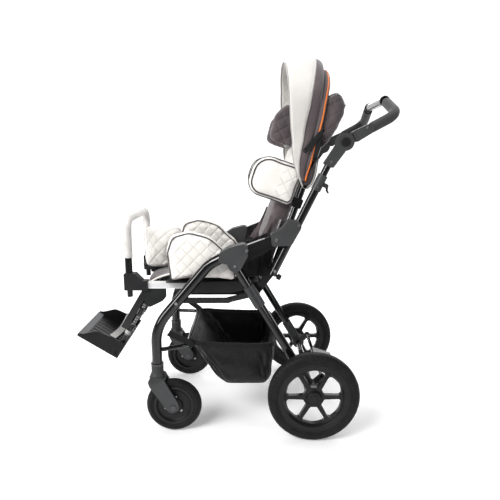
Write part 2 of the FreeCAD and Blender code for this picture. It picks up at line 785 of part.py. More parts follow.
def inner_tube():
    return rod(on_post(POST_L / 2), on_post(HOUSING_S + 36.0), INNER_TUBE_R)


def handle_tongue(radius, thickness):
    pivot = handle_pivot()
    return cross_rod(pivot.x, pivot.z, -SIDE_Y - thickness / 2, -SIDE_Y + thickness / 2, radius)


def pivot_housing():
    """Plate casting on the inner tube, with two cheeks round the handle's tongue."""
    half = HOUSING_T / 2
    corners = ((HOUSING_S, -15), (HOUSING_S, 15), (PIVOT_S, PIVOT_OFF + 17), (PIVOT_S, PIVOT_OFF - 17))
    outline = post_outline(corners)
    housing = plate(outline, (5, 5, 0, 0), -SIDE_Y - half, -SIDE_Y + half)
    housing = housing.fuse(handle_tongue(PIVOT_R, HOUSING_T)).cut(inner_tube())
    housing = housing.cut(handle_tongue(PIVOT_R + PASS, TONGUE_T))
    pivot = handle_pivot()
    outer = -SIDE_Y - half
    recess = BUTTON_TRAVEL + 4.0
    housing = housing.cut(cross_rod(pivot.x, pivot.z, outer, outer + recess, BUTTON_R + FIT))
    pin = cross_rod(pivot.x, pivot.z, outer + recess, -SIDE_Y + half, PIVOT_PIN_R)
    return housing.fuse(pin).removeSplitter()


def pivot_button():
    """Push button in the outer cheek, rounded on its face."""
    pivot = handle_pivot()
    outer = -SIDE_Y - HOUSING_T / 2
    seated = 3.0
    outline = ((-BUTTON_PROUD, 0), (-BUTTON_PROUD, BUTTON_R), (seated, BUTTON_R), (seated, 0))
    return turned(outline, (0, 2.5, 0, 0), V(pivot.x, outer, pivot.z))


def handle_corner():
    return handle_pivot() + direction(HANDLE_DEG) * HANDLE_ARM_L


def handle_middle():
    place = handle_corner()
    return V(place.x - 8.0, -HANDLE_MID_Y, place.z + HANDLE_RISE)


def handle_castings():
    """Arm casting: a tongue between the cheeks, then a full-width socket for the tube."""
    pivot = handle_pivot()
    along = direction(HANDLE_DEG)
    lift = V(-along.z, 0, along.x)
    root, tip = lift * (HANDLE_R + 5.0), lift * (HANDLE_R + 1.5)
    start = pivot + along * (PIVOT_R + 2 * PASS)
    end = pivot + along * HANDLE_CASTING_L
    half = HOUSING_T / 2 - 1.0
    corners = [start + root, end + tip, end - tip, start - root]
    casting = plate([(p.x, p.z) for p in corners], (5, 3, 3, 5), -SIDE_Y - half, -SIDE_Y + half)
    neck = TONGUE_T / 2 - GAP
    middle = pivot + along * (PIVOT_R + 10.0)
    casting = casting.fuse(strip(pivot, middle, HANDLE_R, -SIDE_Y - neck, -SIDE_Y + neck))
    casting = casting.fuse(handle_tongue(PIVOT_R, 2 * neck)).cut(handle_loop())
    casting = casting.cut(cross_rod(pivot.x, pivot.z, -2 * SIDE_Y, 0, PIVOT_PIN_R + FIT))
    return pair(casting)


def handle_points():
    start = handle_pivot() + direction(HANDLE_DEG) * (PIVOT_R + 14.0)
    left = [start, handle_corner(), handle_middle()]
    return left + [V(p.x, -p.y, p.z) for p in reversed(left)]


def handle_loop():
    return pipe(handle_points(), (38.0, 60.0, 60.0, 38.0), HANDLE_R)


def handle_grips():
    """Foam on each rear corner of the handle."""
    start, bend, end = handle_points()[:3]
    reach = HANDLE_ARM_L - HANDLE_CASTING_L - PASS
    path = [bend + (start - bend).normalize() * reach, bend, bend + (end - bend) * 0.84]
    bar = pipe(path, (38.0,), HANDLE_R)
    return pair(pipe(path, (38.0,), GRIP_R).cut(bar))


# Seat

def seat_bars():
    half = SLEEVE_W / 2
    front = front_cross_place()
    bar = box(front.x, SLEEVE_REAR, -RAIL_Y - half, -RAIL_Y + half,
              SEAT_BAR_Z - SEAT_BAR_H / 2, SEAT_BAR_Z + SEAT_BAR_H / 2)
    bar = bar.cut(cross_rod(front.x, front.z, -SIDE_Y, SIDE_Y, CROSS_R))
    hinge = back_hinge()
    low = SEAT_BAR_Z - SEAT_BAR_H / 2
    high = SEAT_BAR_Z + SEAT_BAR_H / 2
    outline = ((SLEEVE_REAR - 36, low), (SLEEVE_REAR, low), (hinge.x + 19, hinge.z - 8),
               (hinge.x + 16, hinge.z + 17), (hinge.x - 14, hinge.z + 17), (PAN_REAR + 6, PAN_Z),
               (SLEEVE_REAR - 36, high))
    inner = -RAIL_Y + half
    bracket = plate(outline, (0, 0, 12, 16, 16, 20, 0), inner, inner + 6.0)
    bracket = bracket.cut(cross_rod(hinge.x, hinge.z, -SIDE_Y, SIDE_Y, REAR_CROSS_R))
    return pair(bar) + pair(bracket)


def rail_section(x0, x1, width, height):
    return box(x0, x1, -RAIL_Y - width / 2, -RAIL_Y + width / 2, RAIL_Z - height / 2, RAIL_Z + height / 2)


def rail_sleeve():
    sleeve = rail_section(SLEEVE_FRONT, SLEEVE_REAR, SLEEVE_W, SLEEVE_H)
    return sleeve.cut(rail_section(SLEEVE_FRONT, SLEEVE_REAR, RAIL_W + 2 * GAP, RAIL_H + 2 * GAP))


def seat_rail():
    rail = rail_section(RAIL_FRONT, RAIL_REAR, RAIL_W, RAIL_H)
    return rail.cut(rail_section(RAIL_FRONT, RAIL_REAR, RAIL_W - 2 * TUBE_WALL, RAIL_H - 2 * TUBE_WALL))


def seat_pan():
    """Seat board with a tongue in front that carries the pommel."""
    half = HIP_Y + HIP_T
    pan = box(PAN_FRONT, PAN_REAR, -half, half, PAN_Z, PAN_Z + PAN_T)
    tongue = TONGUE_W / 2
    pan = pan.fuse(box(POMMEL_FRONT + 20.0, PAN_FRONT, -tongue, tongue, PAN_Z, PAN_Z + PAN_T))
    lift = PAN_Z + PAN_T + POMMEL_LIFT
    block = box(POMMEL_FRONT + 20.0, POMMEL_REAR - 14.0, -tongue, tongue, PAN_Z, lift)
    return pan.fuse(block).removeSplitter()


def seat_cushion():
    half = HIP_Y - PASS
    front, rear = PAN_FRONT + 1.0, PAN_REAR
    outline = ((front, -half), (rear, -half), (rear, half), (front, half))
    levels = crowned(SEAT_Z, SEAT_Z + CUSHION_T, 9.0)
    return pad(outline, (34, 24, 24, 34), levels, V)


def upright_place(a, b, h):
    return V(a, h, b)


def hip_guide():
    """Side pad of the seat, high at the thigh and falling towards the back."""
    front, top = HIP_FRONT, HIP_TOP
    outline = ((front + 10, SEAT_Z), (front, SEAT_Z + 96), (front + 18, top - 16), (front + 80, top),
               (front + 152, top - 18), (front + 232, top - 92), (front + 234, SEAT_Z))
    radii = (14, 60, 30, 60, 90, 50, 16)
    return pad(outline, radii, swollen(-HIP_Y - HIP_T, -HIP_Y, 4.0), upright_place)


def pommel():
    low = PAN_Z + PAN_T + POMMEL_LIFT + GAP
    front, rear, top = POMMEL_FRONT, POMMEL_REAR, POMMEL_TOP
    outline = ((front, low), (front, top), (rear, top), (rear, low))
    half = POMMEL_W / 2
    return pad(outline, (24, 30, 30, 24), swollen(-half, half, 6.0), upright_place)


def basket():
    """Open tub with a sloping front."""
    half = BASKET_W / 2
    corners = (BASKET_TOP_FRONT, BASKET_LOW_FRONT, BASKET_LOW_REAR, BASKET_TOP_REAR)
    tub = plate(corners, (0, 46, 26, 0), -half, half)
    inner = list(inset(corners, BASKET_WALL))
    (front_x, front_z), (rear_x, rear_z) = inner[0], inner[3]
    lift = 4 * BASKET_WALL
    inner = [(front_x, front_z + lift)] + inner + [(rear_x, rear_z + lift)]
    room = plate(inner, (0, 0, 43, 23, 0, 0), -half + BASKET_WALL, half - BASKET_WALL)
    return tub.cut(room)


# Bumper bar and footrest

def bumper_socket():
    rail_end = RAIL_FRONT + 30.0
    low, high = RAIL_Z - RAIL_H / 2 - 5.0, RAIL_Z + RAIL_H / 2 + 4.0
    x = BUMPER_X
    outline = ((x - 14, low), (x - 14, SOCKET_TOP), (x + 22, SOCKET_TOP), (x + 46, high),
               (rail_end, high), (rail_end, low))
    middle = -RAIL_Y + BUMPER_INSET / 2
    socket = plate(outline, (3, 4, 4, 4, 2, 3), middle - SOCKET_T / 2, middle + SOCKET_T / 2)
    bore = Part.makeCylinder(BUMPER_R + FIT, SOCKET_TOP, V(x, bumper_y(), 0), UP)
    socket = socket.cut(bore).cut(rail_section(RAIL_FRONT, rail_end, RAIL_W, RAIL_H))
    return socket.cut(footrest_plate())


def bumper_y():
    return -RAIL_Y + BUMPER_INSET


def bumper_points(foot):
    left = [V(BUMPER_X, bumper_y(), foot), V(BUMPER_X, bumper_y(), BUMPER_TOP)]
    return left + [V(p.x, -p.y, p.z) for p in reversed(left)]


def bumper_bar():
    bar = pipe(bumper_points(BUMPER_FOOT), (BUMPER_BEND_R, BUMPER_BEND_R), BUMPER_R)
    foot = SOCKET_TOP + GAP
    for y in (bumper_y(), -bumper_y()):
        bar = bar.fuse(Part.makeCylinder(COLLAR_R, COLLAR_TOP - foot, V(BUMPER_X, y, foot), UP))
    return bar.removeSplitter()


def bumper_foam():
    path = bumper_points(COLLAR_TOP)
    bends = (BUMPER_BEND_R, BUMPER_BEND_R)
    return pipe(path, bends, FOAM_R).cut(pipe(path, bends, BUMPER_R))


def footrest_plate():
    """Hinge plate under a seat rail."""
    x, z = FOOT_PIVOT
    top = RAIL_Z - RAIL_H / 2
    outline = ((x - 12, top), (x + 60, top), (x + 60, z), (x + 48, z - 14), (x + 6, z - 35),
               (x - 12, z - 28))
    half = FOOT_PLATE_T / 2
    hinge = plate(outline, (0, 0, 10, 16, 10, 10), -RAIL_Y - half, -RAIL_Y + half)
    return hinge.cut(cross_rod(x, z, -SIDE_Y, SIDE_Y, FOOT_PIVOT_R + FIT))


def rod_y():
    """Cross place of the left footrest rod, inside the footplate's walls."""
    return -TRAY_W / 2 + TRAY_WALL + PASS + FOOT_EYE_R + 2.0


def footrest_hanger():
    """Two channels hung from a pivot tube, each with two guides for its rod."""
    reach = RAIL_Y + FOOT_PLATE_T / 2
    x, z = FOOT_PIVOT
    half = HANGER_W / 2
    bored = []
    for sign in (1, -1):
        y = rod_y() * sign
        near, far = HANGER_OFF - HANGER_D / 2, HANGER_OFF + HANGER_D / 2
        corners = [on_rods(-10, near), on_rods(-10, far - 8), on_rods(10, far), on_rods(HANGER_L, far),
                   on_rods(HANGER_L, near)]
        channel = plate([(p.x, p.z) for p in corners], (0, 6, 10, 4, 0), y - half, y + half)
        channel = channel.fuse(strip(on_rods(0), on_rods(0, HANGER_OFF), 13.0, y - half, y + half))
        for start in GUIDE_S:
            guide = rod(on_rods(start, 0, y), on_rods(start + GUIDE_L, 0, y), GUIDE_R)
            channel = channel.fuse(guide)
        channel = channel.cut(rod(on_rods(ROD_TOP_S - 14, 0, y), on_rods(FOOT_HINGE_S, 0, y), ROD_R + FIT))
        bored.append(channel.cut(cross_rod(x, z, -SIDE_Y, SIDE_Y, FOOT_PIVOT_R)))
    return bored + [cross_rod(x, z, -reach, reach, FOOT_PIVOT_R)]


def footrest_rods():
    """Two rods with eyes at their lower ends, and the pin that the footplate turns on."""
    hinge = on_rods(FOOT_HINGE_S)
    half = FOOT_EYE_R
    rods = []
    for sign in (1, -1):
        y = rod_y() * sign
        bar = rod(on_rods(ROD_TOP_S, 0, y), on_rods(FOOT_HINGE_S, 0, y), ROD_R)
        bar = bar.fuse(cross_rod(hinge.x, hinge.z, y - half, y + half, FOOT_EYE_R))
        rods.append(bar.cut(cross_rod(hinge.x, hinge.z, -SIDE_Y, SIDE_Y, FOOT_PIN_R)))
    reach = -rod_y() + half
    return rods + [cross_rod(hinge.x, hinge.z, -reach, reach, FOOT_PIN_R)]


def footplate():
    """Moulded tray: sole, heel wall, two side walls and a hinge block inside the heel."""
    half = TRAY_W / 2
    sole_corners = ((0, 0), (TRAY_L, 0), (TRAY_L, TRAY_T), (0, TRAY_T))
    sole = plate(foot_outline(sole_corners), (0, 2, 2, 0), -half, half)
    heel_corners = ((0, 0), (TRAY_WALL, 0), (TRAY_WALL, TRAY_BACK_H), (0, TRAY_BACK_H))
    heel = plate(foot_outline(heel_corners), (0, 0, 1, 1), -half, half)
    wall_corners = ((0, 0), (TRAY_L, 0), (TRAY_L, 8), (TRAY_L - 14, 15), (TRAY_L - 48, 49),
                    (46, 57), (0, TRAY_BACK_H))
    wall = plate(foot_outline(wall_corners), (0, 2, 3, 10, 30, 40, 4), -half, -half + TRAY_WALL)
    hinge = on_rods(FOOT_HINGE_S)
    reach = -rod_y() - FOOT_EYE_R - PASS
    into, above = foot_hinge_place()
    ahead, top = into + FOOT_EYE_R, above + FOOT_EYE_R
    block_corners = ((0, 0), (ahead, 0), (ahead, above), (into, top), (0, top))
    block = plate(foot_outline(block_corners), (0, 0, 6, 6, 2), -reach, reach)
    tray = sole.fuse(heel).fuse(wall).fuse(mirrored(wall)).fuse(block)
    return tray.cut(cross_rod(hinge.x, hinge.z, -SIDE_Y, SIDE_Y, FOOT_PIN_R + FIT)).removeSplitter()


# Back, supports and hood

def back_frame():
    """Two tubes with eyes on the rear cross tube, joined at the top, with the hood's pins."""
    y = -BACK_TUBE_Y
    tube = rod(on_back(0, 0, y), on_back(BACK_L, 0, y), BACK_TUBE_R)
    hinge = back_hinge()
    tube = tube.fuse(cross_rod(hinge.x, hinge.z, y - BACK_TUBE_R, y + BACK_TUBE_R, BACK_EYE_R))
    tube = tube.cut(cross_rod(hinge.x, hinge.z, -SIDE_Y, SIDE_Y, REAR_CROSS_R + FIT))
    pivot = hood_pivot()
    tube = tube.fuse(cross_rod(pivot.x, pivot.z, -HOOD_Y, y, HOOD_PIN_R))
    knee = on_back(KNEE_REAR_S)
    tube = tube.fuse(cross_rod(knee.x, knee.z, knee_lever_y(0)[0], y, HOOD_PIN_R - 1.0))
    top = on_back(BACK_L - BACK_BAR_DROP)
    inner = BACK_TUBE_Y - BACK_TUBE_R
    crossbar = cross_rod(top.x, top.z, -BACK_TUBE_Y, BACK_TUBE_Y, BACK_BAR_R)
    tubes = pair(tube)
    for other in tubes:
        crossbar = crossbar.cut(other)
    bars = [solid for solid in crossbar.Solids if abs(solid.CenterOfMass.y) < inner]
    return tubes + bars


def back_place(a, b, h):
    return on_back(a, h, b)


def back_cushion():
    half = BACK_W / 2
    low = BACK_BAR_R + GAP
    outline = ((BACK_START, -half), (BACK_L, -half), (BACK_L, half), (BACK_START, half))
    levels = crowned(low, low + BACK_T, 7.0)
    return pad(outline, (30, 60, 60, 30), levels, back_place)


def trunk_support():
    """Side pad of the back with the clamp that slides on the back tube."""
    y = -BACK_TUBE_Y
    reach = BACK_TUBE_R + CLAMP_WALL
    low, high = TRUNK_CLAMP_S - TRUNK_CLAMP_L / 2, TRUNK_CLAMP_S + TRUNK_CLAMP_L / 2
    corners = [on_back(low, -reach), on_back(high, -reach), on_back(high, reach), on_back(low, reach)]
    clamp = plate([(p.x, p.z) for p in corners], (4, 4, 0, 0), y - reach, y + reach)
    clamp = clamp.cut(rod(on_back(0, 0, y), on_back(BACK_L, 0, y), BACK_TUBE_R + FIT))
    near = reach + GAP
    far = near + TRUNK_DEPTH
    outline = ((TRUNK_LOW, near), (TRUNK_TOP, near), (TRUNK_TOP, far), (TRUNK_LOW, far))
    inner = -(BACK_W / 2 + PASS)
    cushion = pad(outline, (20, 34, 56, 44), swollen(inner - TRUNK_T, inner, 4.0), on_back)
    return [cushion, clamp]


def head_pad():
    """Head support: a middle pad and two side wings."""
    near = BACK_TUBE_R + 2.0 + BACK_T + PASS
    half = HEAD_W / 2
    outline = ((HEAD_LOW, -half), (HEAD_TOP, -half), (HEAD_TOP, half), (HEAD_LOW, half))
    middle = pad(outline, (18, 18, 18, 18), crowned(near, near + HEAD_T, 5.0), back_place)
    far = near + WING_DEPTH
    side_outline = ((HEAD_LOW, near), (HEAD_TOP, near), (HEAD_TOP, far - 24), (HEAD_TOP - 46, far),
                    (HEAD_LOW, far - 6))
    levels = swollen(-half - GAP - WING_T, -half - GAP, 4.0)
    wing = pad(side_outline, (16, 20, 26, 30, 22), levels, on_back)
    return [middle] + pair(wing)


def hood_band(radius, half, thickness, lean, low):
    """Arched band of cloth over the head, swept round the hood pivot."""
    bend = HOOD_CORNER_R
    outer = [(-half, low), (-half, radius), (half, radius), (half, low)]
    bare, top = half - thickness, radius - thickness
    inner = [(bare, low), (bare, top), (-bare, top), (-bare, low)]
    points = [on_hood(r, lean[0], y) for y, r in outer + inner]
    radii = (0, bend, bend, 0, 0, bend - thickness, bend - thickness, 0)
    band = Part.Face(bent_wire(points, radii, True))
    return band.revolve(hood_pivot(), ACROSS, lean[1] - lean[0])


def hood_disc(y0, y1, radius):
    pivot = hood_pivot()
    disc = cross_rod(pivot.x, pivot.z, y0, y1, radius)
    return disc.cut(cross_rod(pivot.x, pivot.z, y0, y1, HOOD_PIN_R + FIT))


def hood_visor():
    """Front band of the hood, with its pivot discs and the pins of the front knee levers."""
    visor = hood_band(HOOD_R, HOOD_Y, HOOD_T, VISOR_DEG, HOOD_DISC_R + GAP)
    pin_at = knee_lever_front_place()
    for sign in (-1, 1):
        outer, inner = sign * HOOD_Y, sign * (HOOD_Y - HOOD_DISC_T)
        visor = visor.fuse(hood_disc(min(outer, inner), max(outer, inner), HOOD_DISC_R + 3.0))
        tip = sign * abs(knee_lever_y(1)[0])
        pin = cross_rod(pin_at.x, pin_at.z, min(outer, tip), max(outer, tip), HOOD_PIN_R - 1.0)
        visor = visor.fuse(pin)
    return visor.removeSplitter()


def hood_canopy():
    """Folded cloth behind the visor, on the middle bow."""
    inner_y = HOOD_Y - HOOD_DISC_T - GAP
    canopy = hood_band(CANOPY_R, inner_y, HOOD_T, CANOPY_DEG, HOOD_DISC_R - 1.0)
    for sign in (-1, 1):
        outer, inner = sign * inner_y, sign * (inner_y - HOOD_DISC_T)
        canopy = canopy.fuse(hood_disc(min(outer, inner), max(outer, inner), HOOD_DISC_R))
    return canopy.removeSplitter()


def knee_lever_y(layer):
    """Outer and inner cross places of a hood knee lever on the left; layer 0 lies next to the hood."""
    inner = -HOOD_Y - GAP - layer * (KNEE_LEVER_T + GAP)
    return inner - KNEE_LEVER_T, inner


def knee_lever_front_place():
    return on_hood(KNEE_FRONT_RADIUS, 0)


def hood_lever_rear():
    start = on_back(KNEE_REAR_S)
    lever = strip(start, V(KNEE_ELBOW[0], 0, KNEE_ELBOW[1]), KNEE_LEVER_R, *knee_lever_y(0))
    return pair(lever.cut(cross_rod(start.x, start.z, -SIDE_Y, SIDE_Y, HOOD_PIN_R - 1.0 + FIT)))


def hood_lever_front():
    start = knee_lever_front_place()
    lever = strip(start, V(KNEE_ELBOW[0], 0, KNEE_ELBOW[1]), KNEE_LEVER_R, *knee_lever_y(1))
    return pair(lever.cut(cross_rod(start.x, start.z, -SIDE_Y, SIDE_Y, HOOD_PIN_R - 1.0 + FIT)))


def back_bag():
    """Padded bag of the folded hood on the rear of the back frame."""
    half = BACK_TUBE_Y + BAG_OVERLAP
    outline = ((BAG_LOW, -half), (BAG_TOP, -half), (BAG_TOP, half), (BAG_LOW, half))
    near = -BACK_TUBE_R - GAP
    levels = crowned(near, near - BAG_T, 7.0)
    return pad(outline, (40, 50, 50, 40), levels, back_place)


def build():
    """All pieces by node name, each with its solids."""
    pins = caster_pins()
    supports = trunk_support()
    nodes = {
        "front_legs": pair(front_leg()),
        "side_hubs": pair(side_hub()),
        "armrest_bars": pair(armrest_bar()) + pair(armrest_brace()),
        "handle_brackets": pair(handle_bracket()),
        "handle_posts": pair(handle_post()),
        "height_clamps": pair(height_clamp()),
        "cross_tubes": cross_tubes(),
        "frame_bolts": frame_bolts(),
        "seat_bars": seat_bars(),
        "rail_sleeves": pair(rail_sleeve()),
        "seat_pan": [seat_pan()],
        "seat_cushion": [seat_cushion()],
        "hip_guide_left": [hip_guide()],
        "hip_guide_right": [mirrored(hip_guide())],
        "pommel": [pommel()],
        "basket": [basket()],
        "seat_rails": pair(seat_rail()),
        "bumper_sockets": pair(bumper_socket()),
        "bumper_bar": [bumper_bar()],
        "bumper_foam": [bumper_foam()],
        "footrest_plates": pair(footrest_plate()),
        "footrest_hanger": footrest_hanger(),
        "footrest_rods": footrest_rods(),
        "footplate": [footplate()],
        "rear_legs": pair(rear_leg()) + [rear_axle()],
        "leg_castings": pair(upper_casting()) + pair(lower_casting()),
        "brake_bar": [brake_bar()],
        "knee_link_front": pair(knee_link_front()),
        "knee_link_rear": pair(knee_link_rear()),
        "handle_inner_tubes": pair(inner_tube()),
        "pivot_housings": pair(pivot_housing()),
        "handle_bar": [handle_loop()],
        "handle_castings": handle_castings(),
        "handle_grips": handle_grips(),
        "back_frame": back_frame(),
        "back_cushion": [back_cushion()],
        "head_pad": head_pad(),
        "hood_visor": [hood_visor()],
        "hood_canopy": [hood_canopy()],
        "back_bag": [back_bag()],
        "hood_lever_rear": hood_lever_rear(),
        "hood_lever_front": hood_lever_front(),
    }
    for name, sign in (("left", -1), ("right", 1)):
        place = (lambda shape: shape) if sign < 0 else mirrored
        hub = V(0, sign * REAR_WHEEL_Y, REAR_WHEEL_R)
        nodes["rear_tyre_" + name] = [tyre(hub, REAR_WHEEL_R, REAR_TYRE_W, REAR_TYRE_H)]
        nodes["rear_rim_" + name] = [rear_rim(hub)]
        axle = caster_axle(sign)
        nodes["caster_tyre_" + name] = [tyre(axle, CASTER_R, CASTER_W, CASTER_TYRE_H)]
        nodes["caster_rim_" + name] = [caster_rim(axle)]
        nodes["caster_fork_" + name] = [place(caster_fork())]
        nodes["caster_pins_" + name] = [place(pin) for pin in pins]
        nodes["pivot_button_" + name] = [place(pivot_button())]
        nodes["clamp_lever_" + name] = [place(clamp_lever())]
        nodes["trunk_support_" + name] = [place(solid) for solid in supports]
    return nodes


def origin(nodes):
    """Bottom centre of the whole stroller, in the frame that the pieces are made in."""
    whole = FreeCAD.BoundBox()
    for solids in nodes.values():
        for solid in solids:
            whole.add(solid.optimalBoundingBox(False, False))
    return V(whole.Center.x, 0, whole.ZMin)


def main():
    nodes = build()
    shift = origin(nodes) * -1
    os.makedirs("parts", exist_ok=True)
    for name, solids in nodes.items():
        group = Part.makeCompound(solids)
        group.translate(shift)
        group.exportStep("parts/" + name + ".step")


if __name__ == "__main__":
    main()
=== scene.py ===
import bpy
import bmesh
import math
import numpy as np
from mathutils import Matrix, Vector
from mathutils.bvhtree import BVHTree


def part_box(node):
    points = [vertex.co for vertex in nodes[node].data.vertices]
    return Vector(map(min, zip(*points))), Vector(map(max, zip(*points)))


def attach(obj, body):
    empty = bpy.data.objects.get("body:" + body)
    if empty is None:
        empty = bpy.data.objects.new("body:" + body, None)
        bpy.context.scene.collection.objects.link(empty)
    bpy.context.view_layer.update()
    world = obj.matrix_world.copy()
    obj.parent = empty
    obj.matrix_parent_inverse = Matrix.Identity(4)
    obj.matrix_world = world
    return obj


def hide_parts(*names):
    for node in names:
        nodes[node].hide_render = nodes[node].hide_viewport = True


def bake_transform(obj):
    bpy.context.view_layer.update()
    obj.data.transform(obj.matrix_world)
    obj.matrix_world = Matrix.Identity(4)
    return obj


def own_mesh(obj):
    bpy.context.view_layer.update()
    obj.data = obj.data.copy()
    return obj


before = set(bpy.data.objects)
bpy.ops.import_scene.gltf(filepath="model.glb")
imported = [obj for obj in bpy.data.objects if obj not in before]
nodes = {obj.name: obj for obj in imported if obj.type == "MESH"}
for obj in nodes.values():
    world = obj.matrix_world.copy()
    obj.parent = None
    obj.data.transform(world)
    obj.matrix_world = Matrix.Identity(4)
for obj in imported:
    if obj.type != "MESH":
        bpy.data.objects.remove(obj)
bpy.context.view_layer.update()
scene = bpy.context.scene

# Places. Sizes below are millimetres, with x measured from the rear axle, as in the part's source.
axle_low, axle_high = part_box("rear_tyre_left")
AXLE_X = (axle_low.x + axle_high.x) / 2


def at(x, y, z):
    return Vector((AXLE_X + x / 1000, y / 1000, z / 1000))


SIDES = (("left", -1), ("right", 1))
LEAN = math.radians(19.4)
HINGE_REACH, HINGE_TURN = 16, math.radians(64)
HANGER_LEAN = math.radians(31)
TRAY_TILT = math.radians(32.5)
BACK_UP = Vector((math.sin(LEAN), 0, math.cos(LEAN)))
BACK_OUT = Vector((-math.cos(LEAN), 0, math.sin(LEAN)))
BACK_FOOT = at(-131 + HINGE_REACH * math.cos(HINGE_TURN), 0, 526 + HINGE_REACH * math.sin(HINGE_TURN))
ACROSS = Vector((0, 1, 0))
REARWARD = Vector((1, 0, 0))
UP = Vector((0, 0, 1))


def on_back(t, n, y=0):
    """Point on the back: along its tubes, ahead of them and across."""
    return BACK_FOOT + BACK_UP * (t / 1000) + BACK_OUT * (n / 1000) + ACROSS * (y / 1000)


HOOD_PIVOT = on_back(273.6, 0)
HANGER_PIVOT = at(-533, 0, 440)
HANGER_DOWN = Vector((-math.sin(HANGER_LEAN), 0, -math.cos(HANGER_LEAN)))
TRAY_TOE = Vector((-math.cos(TRAY_TILT), 0, math.sin(TRAY_TILT)))
TRAY_RISE = Vector((math.sin(TRAY_TILT), 0, math.cos(TRAY_TILT)))
TRAY_HEEL = HANGER_PIVOT + HANGER_DOWN * 0.243 - TRAY_TOE * 0.014 - TRAY_RISE * 0.015


def on_tray(along, rise, y):
    """Point of the footplate: ahead of its heel, above its underside and across."""
    return TRAY_HEEL + TRAY_TOE * (along / 1000) + TRAY_RISE * (rise / 1000) + ACROSS * (y / 1000)


def on_hood(r, lean, y):
    """Point of the hood: distance from its pivot, lean from plumb in degrees, and across."""
    a = math.radians(lean)
    return HOOD_PIVOT + Vector((math.sin(a) * r / 1000, y / 1000, math.cos(a) * r / 1000))


# Shader building

class Shader:
    """A Principled material and short calls for the nodes that feed it."""

    def __init__(self, name, rough=0.5, metal=0.0, **inputs):
        self.material = bpy.data.materials.new(name)
        self.material.use_nodes = True
        self.tree = self.material.node_tree
        self.tree.nodes.clear()
        output = self.tree.nodes.new("ShaderNodeOutputMaterial")
        self.body = self.tree.nodes.new("ShaderNodeBsdfPrincipled")
        self.tree.links.new(self.body.outputs["BSDF"], output.inputs["Surface"])
        self.set("Roughness", rough)
        self.set("Metallic", metal)
        for key, value in inputs.items():
            self.set(key.replace("_", " "), value)

    def feed(self, socket, value):
        if isinstance(value, bpy.types.NodeSocket):
            self.tree.links.new(value, socket)
        elif hasattr(value, "__len__") and len(value) == 3 and socket.type == "RGBA":
            socket.default_value = (*value, 1)
        else:
            socket.default_value = value

    def set(self, name, value):
        self.feed(self.body.inputs[name], value)

    def node(self, kind, inputs, output=0, **settings):
        """One output of a new node with these inputs and settings."""
        node = self.tree.nodes.new("ShaderNode" + kind)
        for key, value in settings.items():
            setattr(node, key, value)
        for key, value in inputs.items():
            self.feed(node.inputs[key], value)
        return node.outputs[output]

    def place(self):
        return self.node("TexCoord", {}, "Object")

    def axes(self, vector):
        node = self.tree.nodes.new("ShaderNodeSeparateXYZ")
        self.feed(node.inputs[0], vector)
        return node.outputs

    def moved(self, vector, offset):
        return self.node("VectorMath", {0: vector, 1: offset}, operation="SUBTRACT")

    def along(self, vector, direction):
        return self.node("VectorMath", {0: vector, 1: direction}, "Value", operation="DOT_PRODUCT")

    def math(self, operation, a, b=0.0):
        return self.node("Math", {0: a, 1: b}, operation=operation)

    def noise(self, vector, scale, detail=2.0, rough=0.5):
        inputs = {"Vector": vector, "Scale": scale, "Detail": detail, "Roughness": rough}
        return self.node("TexNoise", inputs, "Fac")

    def cells(self, vector, scale):
        return self.node("TexVoronoi", {"Vector": vector, "Scale": scale}, "Distance")

    def remap(self, value, low, high, to_low=0.0, to_high=1.0):
        inputs = {"Value": value, "From Min": low, "From Max": high, "To Min": to_low, "To Max": to_high}
        return self.node("MapRange", inputs, "Result", interpolation_type="SMOOTHSTEP")

    def mix(self, share, a, b):
        return self.node("Mix", {0: share, 6: a, 7: b}, 2, data_type="RGBA")

    def bump(self, height, distance, strength=1.0, normal=None):
        inputs = {"Height": height, "Distance": distance, "Strength": strength}
        if normal is not None:
            inputs["Normal"] = normal
        made = self.node("Bump", inputs, "Normal")
        self.set("Normal", made)
        return made

    def edge(self):
        """Height of the surface against its surroundings, for wear and shine on edges."""
        return self.node("NewGeometry", {}, "Pointiness")


def coated_metal(name, colour, worn, rough, flutes=None):
    """Powder-coated tube: orange peel, faint handling marks and rubbed edges. Flutes is the direction in
    which its grooves follow each other, if it has any."""
    s = Shader(name, rough, Specular_IOR_Level=0.06, Coat_Weight=1.0, Coat_Roughness=0.04)
    p = s.place()
    marks = s.noise(p, 9.0, 5.0, 0.65)
    rubbed = s.remap(s.edge(), 0.54, 0.62)
    tint = s.mix(s.remap(marks, 0.3, 0.8, 0.0, 0.35), colour, worn)
    s.set("Base Color", s.mix(s.math("MULTIPLY", rubbed, 0.35), tint, worn))
    s.set("Roughness", s.remap(marks, 0.25, 0.75, rough - 0.05, rough + 0.09))
    skin = s.bump(s.noise(p, 420.0, 1.0), 0.00006, 0.5)
    if flutes is not None:
        s.bump(s.remap(s.math("PINGPONG", s.along(p, flutes), 0.0042), 0.0008, 0.0016), 0.0009, 0.9, skin)
    return s.material


def cast_metal(name, colour, rough):
    """Satin casting with a fine sandy skin."""
    s = Shader(name, rough, 0.2, Specular_IOR_Level=0.2)
    p = s.place()
    grain = s.noise(p, 900.0, 2.0)
    patch = s.noise(p, 22.0, 3.0)
    lighter = [min(c * 1.7 + 0.01, 1) for c in colour]
    rubbed = s.remap(s.edge(), 0.53, 0.62, 0.0, 0.55)
    s.set("Base Color", s.mix(rubbed, s.mix(s.remap(patch, 0.3, 0.7, 0, 0.3), colour, lighter), lighter))
    s.set("Roughness", s.remap(patch, 0.3, 0.7, rough - 0.05, rough + 0.08))
    s.bump(grain, 0.00012, 0.6)
    return s.material


